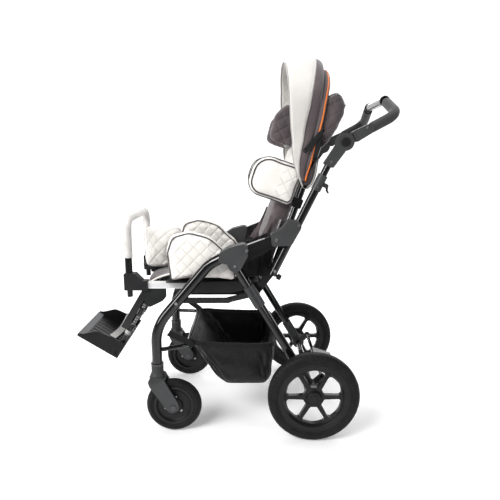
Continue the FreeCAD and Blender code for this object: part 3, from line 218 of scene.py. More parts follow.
def bare_metal(name, colour, rough, along=(1.0, 1.0, 1.0), metal=1.0):
    """Bright steel with drawn lines along one direction."""
    s = Shader(name, rough, metal)
    stretched = s.node("Mapping", {"Vector": s.place(), "Scale": along})
    lines = s.noise(stretched, 260.0, 3.0)
    s.set("Base Color", s.mix(s.remap(lines, 0.3, 0.7), [c * 0.82 for c in colour], colour))
    s.set("Roughness", s.remap(lines, 0.3, 0.7, rough * 0.75, rough * 1.3))
    s.bump(lines, 0.00003, 0.5)
    return s.material


def notched_metal(name, origin, direction, first, last):
    """Bright rod with a row of notches between two distances along it, painted dark in their grooves as
    painted shade, and black beyond them.
    """
    s = Shader(name, 0.2, 1.0)
    down = s.along(s.moved(s.place(), tuple(origin)), tuple(direction))
    groove = s.remap(s.math("PINGPONG", down, 0.005), 0.0012, 0.0018)
    inside = s.math("MULTIPLY", s.math("GREATER_THAN", down, first), s.math("LESS_THAN", down, last))
    notch = s.math("MULTIPLY", s.math("SUBTRACT", 1.0, groove), inside)
    beyond = s.remap(down, last, last + 0.002)
    # Painted shade: the notch grooves are coloured dark steel instead of the rod's bright steel.
    steel = s.mix(notch, (0.34, 0.34, 0.35), (0.03, 0.03, 0.03))
    s.set("Base Color", s.mix(beyond, steel, (0.008, 0.008, 0.0085)))
    s.set("Metallic", s.math("SUBTRACT", 1.0, beyond))
    s.set("Roughness", s.remap(beyond, 0.0, 1.0, 0.2, 0.42))
    s.bump(s.math("SUBTRACT", 1.0, notch), 0.0008, 0.8)
    return s.material


def moulded(name, colour, rough, grain=1400.0, depth=0.00008):
    """Moulded plastic: spark-eroded grain, a little dust in patches and shine on edges."""
    s = Shader(name, rough, Specular_IOR_Level=0.22)
    p = s.place()
    skin = s.noise(p, grain, 2.0)
    patch = s.noise(p, 14.0, 4.0)
    pale = [min(c * 1.5 + 0.012, 1) for c in colour]
    s.set("Base Color", s.mix(s.remap(patch, 0.35, 0.75, 0, 0.25), colour, pale))
    s.set("Roughness", s.remap(s.edge(), 0.5, 0.6, rough, rough * 0.7))
    s.bump(skin, depth, 0.7)
    return s.material


def foam(name, colour):
    """Closed-cell foam tube."""
    s = Shader(name, 0.82, Sheen_Weight=0.25, Sheen_Roughness=0.6)
    p = s.place()
    pores = s.cells(p, 900.0)
    patch = s.noise(p, 30.0, 3.0)
    dark = [c * 0.8 for c in colour]
    s.set("Base Color", s.mix(s.remap(patch, 0.3, 0.7), dark, colour))
    s.bump(pores, 0.00018, 0.6)
    return s.material


def tyre_rubber(name, centre, radius, lugs):
    """Tyre with tread blocks cut across its crown and rings on its side walls."""
    s = Shader(name, 0.62, Specular_IOR_Level=0.16)
    p = s.moved(s.place(), centre)
    x, y, z = s.axes(p)
    r = s.math("SQRT", s.math("ADD", s.math("MULTIPLY", x, x), s.math("MULTIPLY", z, z)))
    turn = s.math("MULTIPLY", s.math("ARCTAN2", z, x), lugs / (2 * math.pi))
    slant = s.math("MULTIPLY", s.math("ABSOLUTE", y), lugs / (2 * math.pi * radius) * 0.9)
    block = s.math("PINGPONG", s.math("ADD", turn, slant), 0.5)
    grooves = s.remap(block, 0.06, 0.12)
    ring = s.remap(s.math("ABSOLUTE", y), 0.0022, 0.0034)
    crown = s.remap(r, radius - 0.012, radius - 0.008)
    tread = s.math("MULTIPLY", grooves, ring)
    walls = s.remap(s.math("PINGPONG", r, 0.0045), 0.0002, 0.0012)
    height = s.math("ADD", s.math("MULTIPLY", crown, tread),
                    s.math("MULTIPLY", s.math("SUBTRACT", 1.0, crown), s.math("MULTIPLY", walls, 0.35)))
    patch = s.noise(p, 40.0, 4.0)
    # Painted shade: the grooves between the tread blocks are coloured darker than the rubber around them.
    low = s.math("MULTIPLY", crown, s.math("SUBTRACT", 1.0, tread))
    tint = s.mix(s.remap(patch, 0.3, 0.75), (0.0055, 0.0055, 0.006), (0.012, 0.012, 0.0125))
    s.set("Base Color", s.mix(low, tint, (0.002, 0.002, 0.002)))
    s.set("Roughness", s.remap(patch, 0.3, 0.7, 0.5, 0.68))
    s.bump(height, 0.0022, 1.0)
    return s.material


def cloth(name, colour, shade, sheen=0.35, weave=620.0, rough=0.88):
    """Woven cloth: crossing threads, slubs and slow changes of tone."""
    s = Shader(name, rough, Specular_IOR_Level=0.2, Sheen_Weight=sheen, Sheen_Roughness=0.45)
    p = s.place()
    slub = s.noise(p, 160.0, 3.0)
    tone = s.noise(p, 11.0, 3.0)
    base = s.mix(s.remap(tone, 0.3, 0.72), shade, colour)
    s.set("Base Color", s.mix(s.remap(slub, 0.35, 0.75, 0.0, 0.3), base, shade))
    s.set("Roughness", s.remap(slub, 0.3, 0.7, rough - 0.06, rough + 0.06))
    s.weave_normal = s.bump(woven_height(s, p, weave), 0.00022, 0.55)
    return s


def woven_height(s, p, weave):
    """Height of threads that cross on a slant."""
    x, y, z = s.axes(p)
    a = s.math("SINE", s.math("MULTIPLY", s.math("ADD", x, y), weave * 2 * math.pi))
    b = s.math("SINE", s.math("MULTIPLY", s.math("ADD", z, s.math("MULTIPLY", y, 0.5)), weave * 2 * math.pi))
    return s.math("MAXIMUM", s.math("MULTIPLY", a, b), s.math("MULTIPLY", a, -0.6))


def plain_cloth(name, colour, shade, **settings):
    return cloth(name, colour, shade, **settings).material


def crumpled(name, colour, shade, depth):
    """Thin nylon with soft creases that catch the light."""
    s = cloth(name, colour, shade, 0.12, 480.0, 0.42)
    s.set("Specular IOR Level", 0.24)
    p = s.place()
    folds = s.math("ADD", s.noise(p, 13.0, 3.0, 0.55), s.math("MULTIPLY", s.noise(p, 37.0, 2.0), 0.35))
    s.bump(folds, depth, 0.7, s.weave_normal)
    return s.material


def quilted(name, colour, shade, thread, across, rise, pitch, **settings):
    """Cloth sewn in diamonds: dashed stitches in a narrow valley, on two directions of the pad, with painted
    shade darkening the valleys.
    """
    s = cloth(name, colour, shade, **settings)
    p = s.place()
    u = s.along(p, tuple(across))
    v = s.along(p, tuple(rise))
    seams, stitches = None, None
    for one, other in ((s.math("ADD", u, v), s.math("SUBTRACT", u, v)),
                       (s.math("SUBTRACT", u, v), s.math("ADD", u, v))):
        off = s.math("PINGPONG", one, pitch / 2)
        valley = s.remap(off, 0.0003, 0.0042, 1.0, 0.0)
        dash = s.remap(s.math("PINGPONG", other, 0.0036), 0.0008, 0.0012)
        stitch = s.math("MULTIPLY", s.remap(off, 0.0008, 0.0012, 1.0, 0.0), dash)
        seams = valley if seams is None else s.math("MAXIMUM", seams, valley)
        stitches = stitch if stitches is None else s.math("MAXIMUM", stitches, stitch)
    base = s.body.inputs["Base Color"].links[0].from_socket
    # Painted shade: the sewn valleys are mixed towards the darker shade colour; the stitches keep the
    # thread's own colour.
    valleys_painted_shade = s.mix(s.math("MULTIPLY", seams, 0.45), base, shade)
    s.set("Base Color", s.mix(s.math("MULTIPLY", stitches, 0.55), valleys_painted_shade, thread))
    height = s.math("SUBTRACT", s.math("MULTIPLY", stitches, 0.35), seams)
    s.bump(height, 0.0011, 0.8, s.weave_normal)
    return s.material


LIGHT, LIGHT_SHADE = (0.82, 0.797, 0.762), (0.735, 0.71, 0.672)
MAUVE, MAUVE_SHADE = (0.112, 0.089, 0.093), (0.072, 0.058, 0.062)
GREY, GREY_SHADE = (0.40, 0.385, 0.375), (0.31, 0.30, 0.29)
THREAD_LIGHT = (0.50, 0.465, 0.42)
THREAD_DARK = (0.15, 0.13, 0.135)
LIGHT_QUILT = (LIGHT, LIGHT_SHADE, THREAD_LIGHT)
MAUVE_QUILT = (MAUVE, MAUVE_SHADE, THREAD_DARK)
TUBE, TUBE_WORN, TUBE_ROUGH = (0.0026, 0.0026, 0.0028), (0.009, 0.009, 0.0094), 0.2
ARMREST_UP = (-0.27, 0.0, 0.963)

# Distance between the stitched lines of each pattern, and of the diamonds pushed out of flat pads, in metres
SIDE_PITCH = 0.042
FRONT_PITCH = 0.034
SEAT_PITCH = 0.036
DIAMOND = 0.044

black_tube = coated_metal("black_tube", TUBE, TUBE_WORN, TUBE_ROUGH)
fluted_tube = coated_metal("fluted_tube", TUBE, TUBE_WORN, TUBE_ROUGH, ARMREST_UP)
grey_casting = cast_metal("grey_casting", (0.033, 0.0335, 0.0345), 0.46)
dark_casting = cast_metal("dark_casting", (0.0085, 0.009, 0.0095), 0.44)
# Seat rails: pale metal of their own colour, made mostly diffuse so that their brightness is a painted
# reflection of the pale surroundings.
pale_rail_painted_reflection = bare_metal("pale_rail_painted_reflection", (0.84, 0.84, 0.85), 0.36, (0.04, 1.0, 1.0), 0.3)
bolt_steel = bare_metal("bolt_steel", (0.50, 0.50, 0.51), 0.27)
dark_steel = bare_metal("dark_steel", (0.10, 0.10, 0.105), 0.35)
black_plastic = moulded("black_plastic", (0.0075, 0.0075, 0.008), 0.46)
socket_plastic = moulded("socket_plastic", (0.013, 0.013, 0.014), 0.6, 1100.0, 0.00014)
rim_plastic = moulded("rim_plastic", (0.0075, 0.0075, 0.008), 0.36)
tray_plastic = moulded("tray_plastic", (0.006, 0.006, 0.0065), 0.38, 1200.0, 0.0001)
pale_plastic = moulded("pale_plastic", (0.34, 0.34, 0.335), 0.45)
lip_plastic = moulded("lip_plastic", (0.085, 0.087, 0.09), 0.4)
bumper_foam = foam("bumper_foam", (0.70, 0.675, 0.652))
grip_foam = foam("grip_foam", (0.012, 0.0125, 0.012))
notched_rod = notched_metal("notched_rod", HANGER_PIVOT, HANGER_DOWN, 0.03, 0.172)
# Bright metal band on the middle of the handle bar: a painted reflection of the pale surroundings on the
# black tube.
painted_reflection_sleeve = bare_metal("painted_reflection_sleeve", (0.30, 0.30, 0.31), 0.26, (1.0, 0.05, 1.0))
light_side = quilted("light_side", *LIGHT_QUILT, REARWARD, UP, SIDE_PITCH)
light_back = quilted("light_back", *LIGHT_QUILT, BACK_UP, BACK_OUT, SIDE_PITCH)
light_front = quilted("light_front", *LIGHT_QUILT, BACK_UP, ACROSS, FRONT_PITCH)
light_round = quilted("light_round", *LIGHT_QUILT, REARWARD - ACROSS, UP, SIDE_PITCH)
mauve_side = quilted("mauve_side", *MAUVE_QUILT, BACK_UP, BACK_OUT, SIDE_PITCH, sheen=0.5)
mauve_front = quilted("mauve_front", *MAUVE_QUILT, BACK_UP, ACROSS, FRONT_PITCH, sheen=0.5)
mauve_seat = quilted("mauve_seat", *MAUVE_QUILT, REARWARD, ACROSS, SEAT_PITCH, sheen=0.5)
mauve_plain = plain_cloth("mauve_plain", MAUVE, MAUVE_SHADE, sheen=0.5)
light_plain = plain_cloth("light_plain", LIGHT, LIGHT_SHADE)
# Top of the hood's visor: a darker, plain copy of the light cloth, as painted shade against the light from
# above; its underside keeps the light cloth.
visor_painted_shade_cloth = plain_cloth("visor_painted_shade_cloth", (0.63, 0.613, 0.588), (0.55, 0.532, 0.505))
grey_plain = plain_cloth("grey_plain", GREY, GREY_SHADE)
dark_piping = plain_cloth("dark_piping", (0.075, 0.073, 0.075), (0.05, 0.048, 0.05), weave=900.0)
orange_piping = plain_cloth("orange_piping", (0.80, 0.21, 0.035), (0.62, 0.14, 0.02), weave=900.0, rough=0.6)
dark_cloth = plain_cloth("dark_cloth", (0.014, 0.012, 0.013), (0.007, 0.006, 0.0065), sheen=0.15, rough=0.8)
basket_nylon = crumpled("basket_nylon", (0.005, 0.005, 0.0055), (0.003, 0.003, 0.0033), 0.012)
webbing = plain_cloth("webbing", (0.0065, 0.0065, 0.007), (0.004, 0.004, 0.0043), sheen=0.05, weave=380.0,
                      rough=0.6)

NODE_MATERIALS = {
    fluted_tube: ("armrest_bars",),
    black_tube: ("front_legs", "handle_posts", "cross_tubes", "seat_bars", "rear_legs",
                 "brake_bar", "knee_link_front", "knee_link_rear", "handle_bar", "back_frame", "bumper_bar",
                 "footrest_hanger", "rail_sleeves", "handle_inner_tubes"),
    grey_casting: ("side_hubs", "handle_brackets", "height_clamps", "leg_castings", "pivot_housings",
                   "handle_castings", "caster_fork_left", "caster_fork_right"),
    dark_casting: ("footrest_plates", "hood_lever_rear", "hood_lever_front"),
    pale_rail_painted_reflection: ("seat_rails",),
    notched_rod: ("footrest_rods",),
    bolt_steel: ("frame_bolts",),
    dark_steel: ("caster_pins_left", "caster_pins_right"),
    black_plastic: ("seat_pan", "pivot_button_left", "pivot_button_right", "clamp_lever_left",
                    "clamp_lever_right"),
    socket_plastic: ("bumper_sockets",),
    rim_plastic: ("rear_rim_left", "rear_rim_right", "caster_rim_left", "caster_rim_right"),
    tray_plastic: ("footplate",),
    bumper_foam: ("bumper_foam",),
    grip_foam: ("handle_grips",),
}
for made, names in NODE_MATERIALS.items():
    for name in names:
        nodes[name].data.materials.clear()
        nodes[name].data.materials.append(made)
for kind, lugs in (("rear_tyre_", 58), ("caster_tyre_", 44)):
    for side, sign in SIDES:
        low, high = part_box(kind + side)
        made = tyre_rubber(kind + side + "_rubber", (low + high) / 2, (high.z - low.z) / 2, lugs)
        nodes[kind + side].data.materials.clear()
        nodes[kind + side].data.materials.append(made)


# Mesh helpers

def piece(mesh, body, material, name=None):
    """Object that rides on a body, named after its mesh unless it is given a name."""
    obj = bpy.data.objects.new(name or mesh.name, mesh)
    scene.collection.objects.link(obj)
    mesh.materials.clear()
    mesh.materials.append(material)
    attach(obj, body)
    return obj


def trim(mesh, material, chosen):
    """Gives a second material to the chosen faces."""
    mesh.materials.append(material)
    for polygon in mesh.polygons:
        if chosen(polygon):
            polygon.material_index = 1


def mesh_from(name, points, faces, smooth=True):
    mesh = bpy.data.meshes.new(name)
    mesh.from_pydata([tuple(p) for p in points], [], faces)
    mesh.update()
    for polygon in mesh.polygons:
        polygon.use_smooth = smooth
    return mesh


def settled(obj, name):
    """Mesh of an object with its modifiers applied."""
    graph = bpy.context.evaluated_depsgraph_get()
    mesh = bpy.data.meshes.new_from_object(obj.evaluated_get(graph))
    mesh.name = name
    return mesh


def islands(node):
    """Separate closed parts of a node, the largest box first."""
    bm = bmesh.new()
    bm.from_mesh(nodes[node].data)
    bmesh.ops.remove_doubles(bm, verts=bm.verts, dist=1e-6)
    bm.verts.ensure_lookup_table()
    seen, parts = set(), []
    for start in bm.verts:
        if start.index in seen:
            continue
        stack, group = [start], []
        seen.add(start.index)
        while stack:
            vert = stack.pop()
            group.append(vert)
            for edge in vert.link_edges:
                other = edge.other_vert(vert)
                if other.index not in seen:
                    seen.add(other.index)
                    stack.append(other)
        index = {v.index: i for i, v in enumerate(group)}
        faces = {f for v in group for f in v.link_faces}
        order = sorted(faces, key=lambda f: f.index)
        parts.append(([v.co.copy() for v in group], [[index[v.index] for v in f.verts] for f in order]))
    bm.free()

    def size(part):
        co = np.array([tuple(p) for p in part[0]])
        return -float(np.prod(co.max(0) - co.min(0)))

    return sorted(parts, key=size)


def moved_points(mesh, points):
    mesh.vertices.foreach_set("co", np.asarray(points, np.float32).ravel())
    mesh.update()


def points_of(mesh):
    co = np.zeros(len(mesh.vertices) * 3, np.float32)
    mesh.vertices.foreach_get("co", co)
    return co.reshape(-1, 3).astype(float)


def normals_of(mesh):
    n = np.zeros(len(mesh.vertices) * 3, np.float32)
    mesh.vertices.foreach_get("normal", n)
    return n.reshape(-1, 3).astype(float)


CLOTH_STEPS = 20


def inflated(name, part, voxel=0.005, tuck=0.002, pressure=4.0, cap=0.007):
    """Padded form: a part remeshed, drawn in a little and blown up as cloth, with its movement capped."""
    obj = bpy.data.objects.new(name, mesh_from(name, *part))
    scene.collection.objects.link(obj)
    remesh = obj.modifiers.new("remesh", "REMESH")
    remesh.mode = "VOXEL"
    remesh.voxel_size = voxel
    obj.data = settled(obj, name)
    obj.modifiers.clear()
    moved_points(obj.data, points_of(obj.data) - normals_of(obj.data) * tuck)
    start = points_of(obj.data)
    sim = obj.modifiers.new("cloth", "CLOTH")
    sim.settings.quality = 4
    sim.settings.mass = 0.3
    sim.settings.tension_stiffness = 12
    sim.settings.compression_stiffness = 12
    sim.settings.use_pressure = True
    sim.settings.uniform_pressure_force = pressure
    sim.settings.effector_weights.gravity = 0
    sim.point_cache.frame_start = 1
    sim.point_cache.frame_end = CLOTH_STEPS
    for step in range(1, CLOTH_STEPS + 1):
        scene.frame_set(step)
    shift = points_of(settled(obj, name)) - start
    scene.frame_set(1)
    obj.modifiers.clear()
    length = np.linalg.norm(shift, axis=1, keepdims=True)
    moved_points(obj.data, start + shift * np.minimum(1, cap / np.maximum(length, 1e-9)))
    smooth = obj.modifiers.new("smooth", "SMOOTH")
    smooth.factor = 0.5
    smooth.iterations = 3
    obj.modifiers.new("finer", "SUBSURF").levels = 1
    mesh = settled(obj, name)
    bpy.data.objects.remove(obj)
    for polygon in mesh.polygons:
        polygon.use_smooth = True
    return mesh


def quilt(mesh, across, rise, pitch, depth, facing=None, behind=1.0):
    """Pushes the diamonds of a quilted pad out between their sewn lines. With a facing, only its two faces
    along that are quilted, and behind is the share on the one that looks away."""
    co = points_of(mesh)
    normal = normals_of(mesh)
    u = co @ np.array(across)
    v = co @ np.array(rise)
    swell = np.sqrt(np.abs(np.sin(np.pi * (u + v) / pitch) * np.sin(np.pi * (u - v) / pitch)))
    amount = depth * (swell - 0.6)
    if facing is not None:
        face = normal @ np.array(facing)
        amount = amount * np.clip((np.abs(face) - 0.35) / 0.4, 0, 1) * np.where(face > 0, 1, behind)
    moved_points(mesh, co + normal * amount[:, None])


def rounded(corners, radii, closed=False, step=6.0):
    """Points of a path in a plane with round corners, from corners in millimetres."""
    points = [Vector((a, b)) for a, b in corners]
    count = len(points)
    path = []
    for i, point in enumerate(points):
        radius = radii[i]
        if radius == 0 or (not closed and i in (0, count - 1)):
            path.append(point)
            continue
        back = (points[i - 1] - point).normalized()
        ahead = (points[(i + 1) % count] - point).normalized()
        half = back.angle(ahead) / 2
        middle = point + (back + ahead).normalized() * (radius / math.sin(half))
        begin = point + back * (radius / math.tan(half)) - middle
        sweep = math.pi - 2 * half
        turn = math.copysign(1, back.x * ahead.y - back.y * ahead.x) * -1
        bends = max(2, int(sweep * radius / step))
        for k in range(bends + 1):
            a = turn * sweep * k / bends
            path.append(middle + Vector((begin.x * math.cos(a) - begin.y * math.sin(a),
                                         begin.x * math.sin(a) + begin.y * math.cos(a))))
    return path


def even(points, spacing):
    """Same path with evenly spaced points."""
    points = [Vector(p) for p in points]
    lengths = [0.0]
    for a, b in zip(points, points[1:]):
        lengths.append(lengths[-1] + (b - a).length)
    count = max(2, int(lengths[-1] / spacing) + 1)
    result, i = [], 0
    for k in range(count):
        target = lengths[-1] * k / (count - 1)
        while i < len(points) - 2 and lengths[i + 1] < target:
            i += 1
        span = max(lengths[i + 1] - lengths[i], 1e-9)
        result.append(points[i].lerp(points[i + 1], min(1, (target - lengths[i]) / span)))
    return result


def surface_of(mesh):
    places = [v.co.copy() for v in mesh.vertices]
    return BVHTree.FromPolygons(places, [tuple(p.vertices) for p in mesh.polygons])


def on_surface(mesh, points, lift=0.0):
    """Points moved to the nearest place on a mesh, then lifted off it."""
    tree = surface_of(mesh)
    result = []
    for point in points:
        place, normal, index, distance = tree.find_nearest(point)
        result.append(place + normal * lift)
    return result


def softened(points, rounds=2):
    """Same points, each drawn towards its neighbours, with the ends left where they are."""
    for _ in range(rounds):
        inner = [(points[i - 1] + points[i] * 2 + points[i + 1]) / 4 for i in range(1, len(points) - 1)]
        points = points[:1] + inner + points[-1:]
    return points


def grid_of(rows, columns, place):
    """Rows of points; place gives each from its shares along the rows and the columns, from 0 to 1."""
    return [[place(i / (rows - 1), k / (columns - 1)) for k in range(columns)] for i in range(rows)]


def grid_faces(rows, columns, wrap=False):
    faces = []
    for i in range(rows - 1):
        for k in range(columns if wrap else columns - 1):
            l = (k + 1) % columns
            faces.append([i * columns + k, i * columns + l, (i + 1) * columns + l, (i + 1) * columns + k])
    return faces


def loop_faces(rows, size):
    """Faces of a bar whose rows are loops of points, closed at both ends."""
    faces = grid_faces(rows, size, True)
    faces.append(list(range(size))[::-1])
    faces.append([(rows - 1) * size + k for k in range(size)])
    return faces


def swept_mesh(name, points, section, normals, smooth):
    """Bar with a section of (across, up) places along points. Up is one normal, a list of them or, when it is
    None, carried on from point to point."""
    points = [Vector(p) for p in points]
    count = len(points)
    verts, up = [], None
    for i, point in enumerate(points):
        ahead = (points[min(i + 1, count - 1)] - points[max(i - 1, 0)]).normalized()
        if normals is not None:
            up = Vector(normals[i] if isinstance(normals, list) else normals)
        elif up is None:
            up = UP if abs(ahead.z) < 0.9 else REARWARD
        up = (up - ahead * up.dot(ahead)).normalized()
        across = ahead.cross(up)
        verts += [point + across * w + up * h for w, h in section]
    return mesh_from(name, verts, loop_faces(count, len(section)), smooth)


def tube_mesh(name, points, radius, sides=10, flat=1.0, normal=None):
    """Closed tube or flat band along points; flat is its thickness as a share of its width."""
    turns = [2 * math.pi * k / sides for k in range(sides)]
    section = [(math.cos(a) * radius, math.sin(a) * radius * flat) for a in turns]
    return swept_mesh(name, points, section, normal, True)


# Places round a strap, as shares of its width and thickness
STRAP_SECTION = ((0.5, -0.5), (0.5, 0.5), (0.42, 0.62), (0.34, 0.5), (-0.34, 0.5), (-0.42, 0.62), (-0.5, 0.5),
                 (-0.5, -0.5))


def strap_mesh(name, points, width, thick, normals):
    """Flat webbing with raised edges along points, facing the given normals."""
    section = [(w * width, h * thick) for w, h in STRAP_SECTION]
    return swept_mesh(name, points, section, normals, False)


def lathe_mesh(name, centre, axis, profile, sides=36):
    """Turned piece with a closed profile of (radius, height) in millimetres, height along the axis."""
    axis = Vector(axis).normalized()
    seed = UP if abs(axis.z) < 0.9 else REARWARD
    n = (seed - axis * seed.dot(axis)).normalized()
    b = axis.cross(n)
    verts = []
    for k in range(sides):
        a = 2 * math.pi * k / sides
        out = n * math.cos(a) + b * math.sin(a)
        verts += [Vector(centre) + out * (r / 1000) + axis * (h / 1000) for r, h in profile]
    size = len(profile)
    faces = []
    for k in range(sides):
        l = (k + 1) % sides
        for i in range(size):
            j = (i + 1) % size
            faces.append([k * size + i, l * size + i, l * size + j, k * size + j])
    mesh = mesh_from(name, verts, faces)
    mesh.set_sharp_from_angle(angle=math.radians(40))
    return mesh


def shell_mesh(name, grid, thick):
    """Closed cloth of even thickness on a grid of points, with rounded edges left to the shading."""
    rows, columns = len(grid), len(grid[0])
    surface = mesh_from(name + "_middle", [p for row in grid for p in row], grid_faces(rows, columns))
    co, normal = points_of(surface), normals_of(surface)
    bpy.data.meshes.remove(surface)
    count = rows * columns
    faces = grid_faces(rows, columns)
    faces += [[i + count for i in face[::-1]] for face in grid_faces(rows, columns)]
    rim = [k for k in range(columns)]
    rim += [i * columns + columns - 1 for i in range(1, rows)]
    rim += [(rows - 1) * columns + k for k in range(columns - 2, -1, -1)]
    rim += [i * columns for i in range(rows - 2, 0, -1)]
    for a, b in zip(rim, rim[1:] + rim[:1]):
        faces.append([b, a, a + count, b + count])
    half = thick / 2000
    return mesh_from(name, list(co + normal * half) + list(co - normal * half), faces)


def block_part(corners):
    """Points and faces of a box with these eight corners, the lower four first."""
    faces = [[3, 2, 1, 0], [4, 5, 6, 7], [0, 1, 5, 4], [1, 2, 6, 5], [2, 3, 7, 6], [3, 0, 4, 7]]
    return [Vector(c) for c in corners], faces


def head_on(name, node, body, start, face, profile, sides):
    """Turned bolt head on a node, where a line across from start meets it."""
    hit, normal, index, distance = surface_of(nodes[node].data).ray_cast(start, ACROSS * -face)
    head = lathe_mesh(name, hit, ACROSS * face, profile, sides)
    piece(head, body, bolt_steel)


def bolt_on(name, node, body, place, sign, radius=4.6):
    """Round bolt head on the outer face of a node."""
    socket = radius * 0.5
    profile = ((0.1, -0.6), (radius, -0.6), (radius, 1.3), (radius * 0.86, 2.1), (socket, 2.2), (socket, 0.6),
               (0.1, 0.6))
    head_on(name, node, body, Vector((place.x, sign * 0.6, place.z)), sign, profile, 28)


def sewn_piping(name, mesh, path, body):
    """Dark piping along a path on a pad."""
    path = softened(on_surface(mesh, even(path, 0.006), 0.0012), 3)
    piece(tube_mesh(name, path, 0.0024), body, dark_piping)


# Camera, floor and light

CAMERA_PLACE = at(-210.2, -1613.66, 874.52)
CAMERA_DROP, CAMERA_TURN = math.radians(10.83), -0.007
CAMERA_LENS, SENSOR = 33.44, 36.0
camera = bpy.data.objects.new("camera", bpy.data.cameras.new("camera"))
scene.collection.objects.link(camera)
camera.location = CAMERA_PLACE
camera.rotation_euler = (math.pi / 2 - CAMERA_DROP, 0, CAMERA_TURN)
camera.data.lens = CAMERA_LENS
camera.data.sensor_width = SENSOR
camera.data.clip_start = 0.05
scene.camera = camera


def backdrop():
    """Pale floor that curves up into a wall behind."""
    front, bend, radius, top, half, below = -7.0, 3.2, 2.0, 8.0, 11.0, 0.0005
    rows = [(front, 0.0), (0.0, 0.0)]
    for a in np.linspace(0, math.pi / 2, 14):
        rows.append((bend + radius * math.sin(a), radius - radius * math.cos(a)))
    rows.append((bend + radius, top))
    verts = [(x, y, z - below) for y, z in rows for x in (-half, half)]
    floor = bpy.data.objects.new("floor", mesh_from("floor", verts, grid_faces(len(rows), 2)))
    scene.collection.objects.link(floor)
    s = Shader("pale_floor", 0.6, Specular_IOR_Level=0.1)
    p = s.place()
    depth = s.along(p, (0.0, 1.0, 0.0))
    s.set("Base Color", s.mix(s.noise(p, 1.2, 2.0), (0.93, 0.93, 0.93), (0.96, 0.96, 0.96)))
    s.set("Emission Color", (1.0, 1.0, 1.0))
    s.set("Emission Strength", s.remap(depth, -1.0, 2.2, 0.0, 0.80))
    floor.data.materials.append(s.material)


def soft_light(name, place, aim, width, height, power, spread=70):
    """Area light that looks at the middle of the part at the height aim."""
    data = bpy.data.lights.new(name, "AREA")
    data.shape = "RECTANGLE"
    data.size = width
    data.size_y = height
    data.energy = power
    data.spread = math.radians(spread)
    light = bpy.data.objects.new(name, data)
    scene.collection.objects.link(light)
    light.location = place
    light.rotation_euler = (UP * aim - Vector(place)).to_track_quat("-Z", "Y").to_euler()


WORLD_LIGHT, WORLD_SEEN = 0.12, 0.85


def surroundings():
    """Pale background, which lights the part only weakly."""
    world = bpy.data.worlds.new("studio")
    scene.world = world
    world.use_nodes = True
    tree = world.node_tree
    background = tree.nodes["Background"].inputs
    background["Color"].default_value = (1.0, 1.0, 1.0, 1.0)
    seen = tree.nodes.new("ShaderNodeLightPath").outputs["Is Camera Ray"]
    strength = tree.nodes.new("ShaderNodeMapRange")
    strength.inputs["To Min"].default_value = WORLD_LIGHT
    strength.inputs["To Max"].default_value = WORLD_SEEN
    tree.links.new(seen, strength.inputs["Value"])
    tree.links.new(strength.outputs["Result"], background["Strength"])
    scene.view_settings.view_transform = "Standard"


backdrop()
soft_light("key", (-1.7, -2.2, 2.6), 0.6, 1.7, 1.2, 17.5)
soft_light("fill", (2.3, -2.4, 1.5), 0.6, 0.8, 1.8, 5.5)
soft_light("top", (0.1, 0.2, 3.3), 0.5, 1.2, 1.2, 8.0)
soft_light("strip", (-2.6, -1.5, 1.4), 0.5, 0.9, 2.0, 9)
soft_light("rim", (1.0, 2.4, 2.2), 0.7, 1.8, 1.2, 10, 120)
surroundings()


# Seat

HIP_OUTLINE = ((-455, 500), (-464, 590), (-447, 641), (-392, 656), (-324, 639), (-248, 568), (-246, 500))
HIP_RADII = (10, 54, 24, 54, 84, 44, 12)


def hip_guides():
    for side, sign in SIDES:
        node = "hip_guide_" + side
        mesh = inflated("hip_pad_" + side, islands(node)[0])
        quilt(mesh, REARWARD, UP, SIDE_PITCH, 0.0030, ACROSS * -sign, 0.4)
        pad = piece(mesh, "frame", light_side, "hip_pad_" + side)
        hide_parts(node)
        for k, y in enumerate((178, 143)):
            path = [at(p.x, sign * y, p.y) for p in rounded(HIP_OUTLINE, HIP_RADII)]
            sewn_piping("hip_piping_%s_%d" % (side, k), mesh, path, "frame")


def pommel():
    mesh = inflated("pommel_pad", islands("pommel")[0])
    low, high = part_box("pommel")
    co = points_of(mesh)
    above = np.clip((co[:, 2] - low.z - 0.04) / 0.05, 0, 1)
    co[:, 0] += 0.36 * above * (co[:, 0] - low.x)
    moved_points(mesh, co)
    for facing in (REARWARD, ACROSS):
        quilt(mesh, REARWARD - ACROSS, UP, SIDE_PITCH, 0.0020, facing)
    pad = piece(mesh, "frame", light_round, "pommel_pad")
    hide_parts("pommel")
    place = Vector((low.x + 0.006, 0, low.z + 0.006))
    profile = ((0.1, -8), (6, -8), (6, 2), (9.5, 3), (10, 5), (10, 13), (8.5, 15), (0.1, 15.5))
    knob = lathe_mesh("pommel_knob", place, (-1, 0, -0.25), profile)
    piece(knob, "frame", black_plastic)


def seat_cushion():
    mesh = inflated("seat_pad", islands("seat_cushion")[0], 0.006)
    quilt(mesh, REARWARD, ACROSS, DIAMOND, 0.0026, UP)
    pad = piece(mesh, "frame", mauve_seat, "seat_pad")
    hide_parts("seat_cushion")


def seat_flap():
    """Cloth from the cushion's front edge over the pan, drooping at its front and corners."""
    def place(u, w):
        v = 2 * w - 1
        x = -462 - 70 * u - 6 * math.cos(v * math.pi / 2)
        ripple = 1.6 * math.sin(9 * v + 2 * u) * u + 1.1 * math.sin(17 * v - 3 * u) * u
        z = 510 - 9 * u - 11 * u ** 3 - 7 * u * abs(v) ** 4 + ripple
        return at(x, 127 * v, z)

    grid = grid_of(15, 41, place)
    obj = piece(shell_mesh("seat_flap", grid, 5.0), "frame", mauve_plain)
    edge = [row[0] for row in grid] + grid[-1][1:-1] + [row[-1] for row in grid[::-1]]
    binding = tube_mesh("seat_flap_binding", softened(even(edge, 0.006), 2), 0.0032)
    piece(binding, "frame", light_plain)


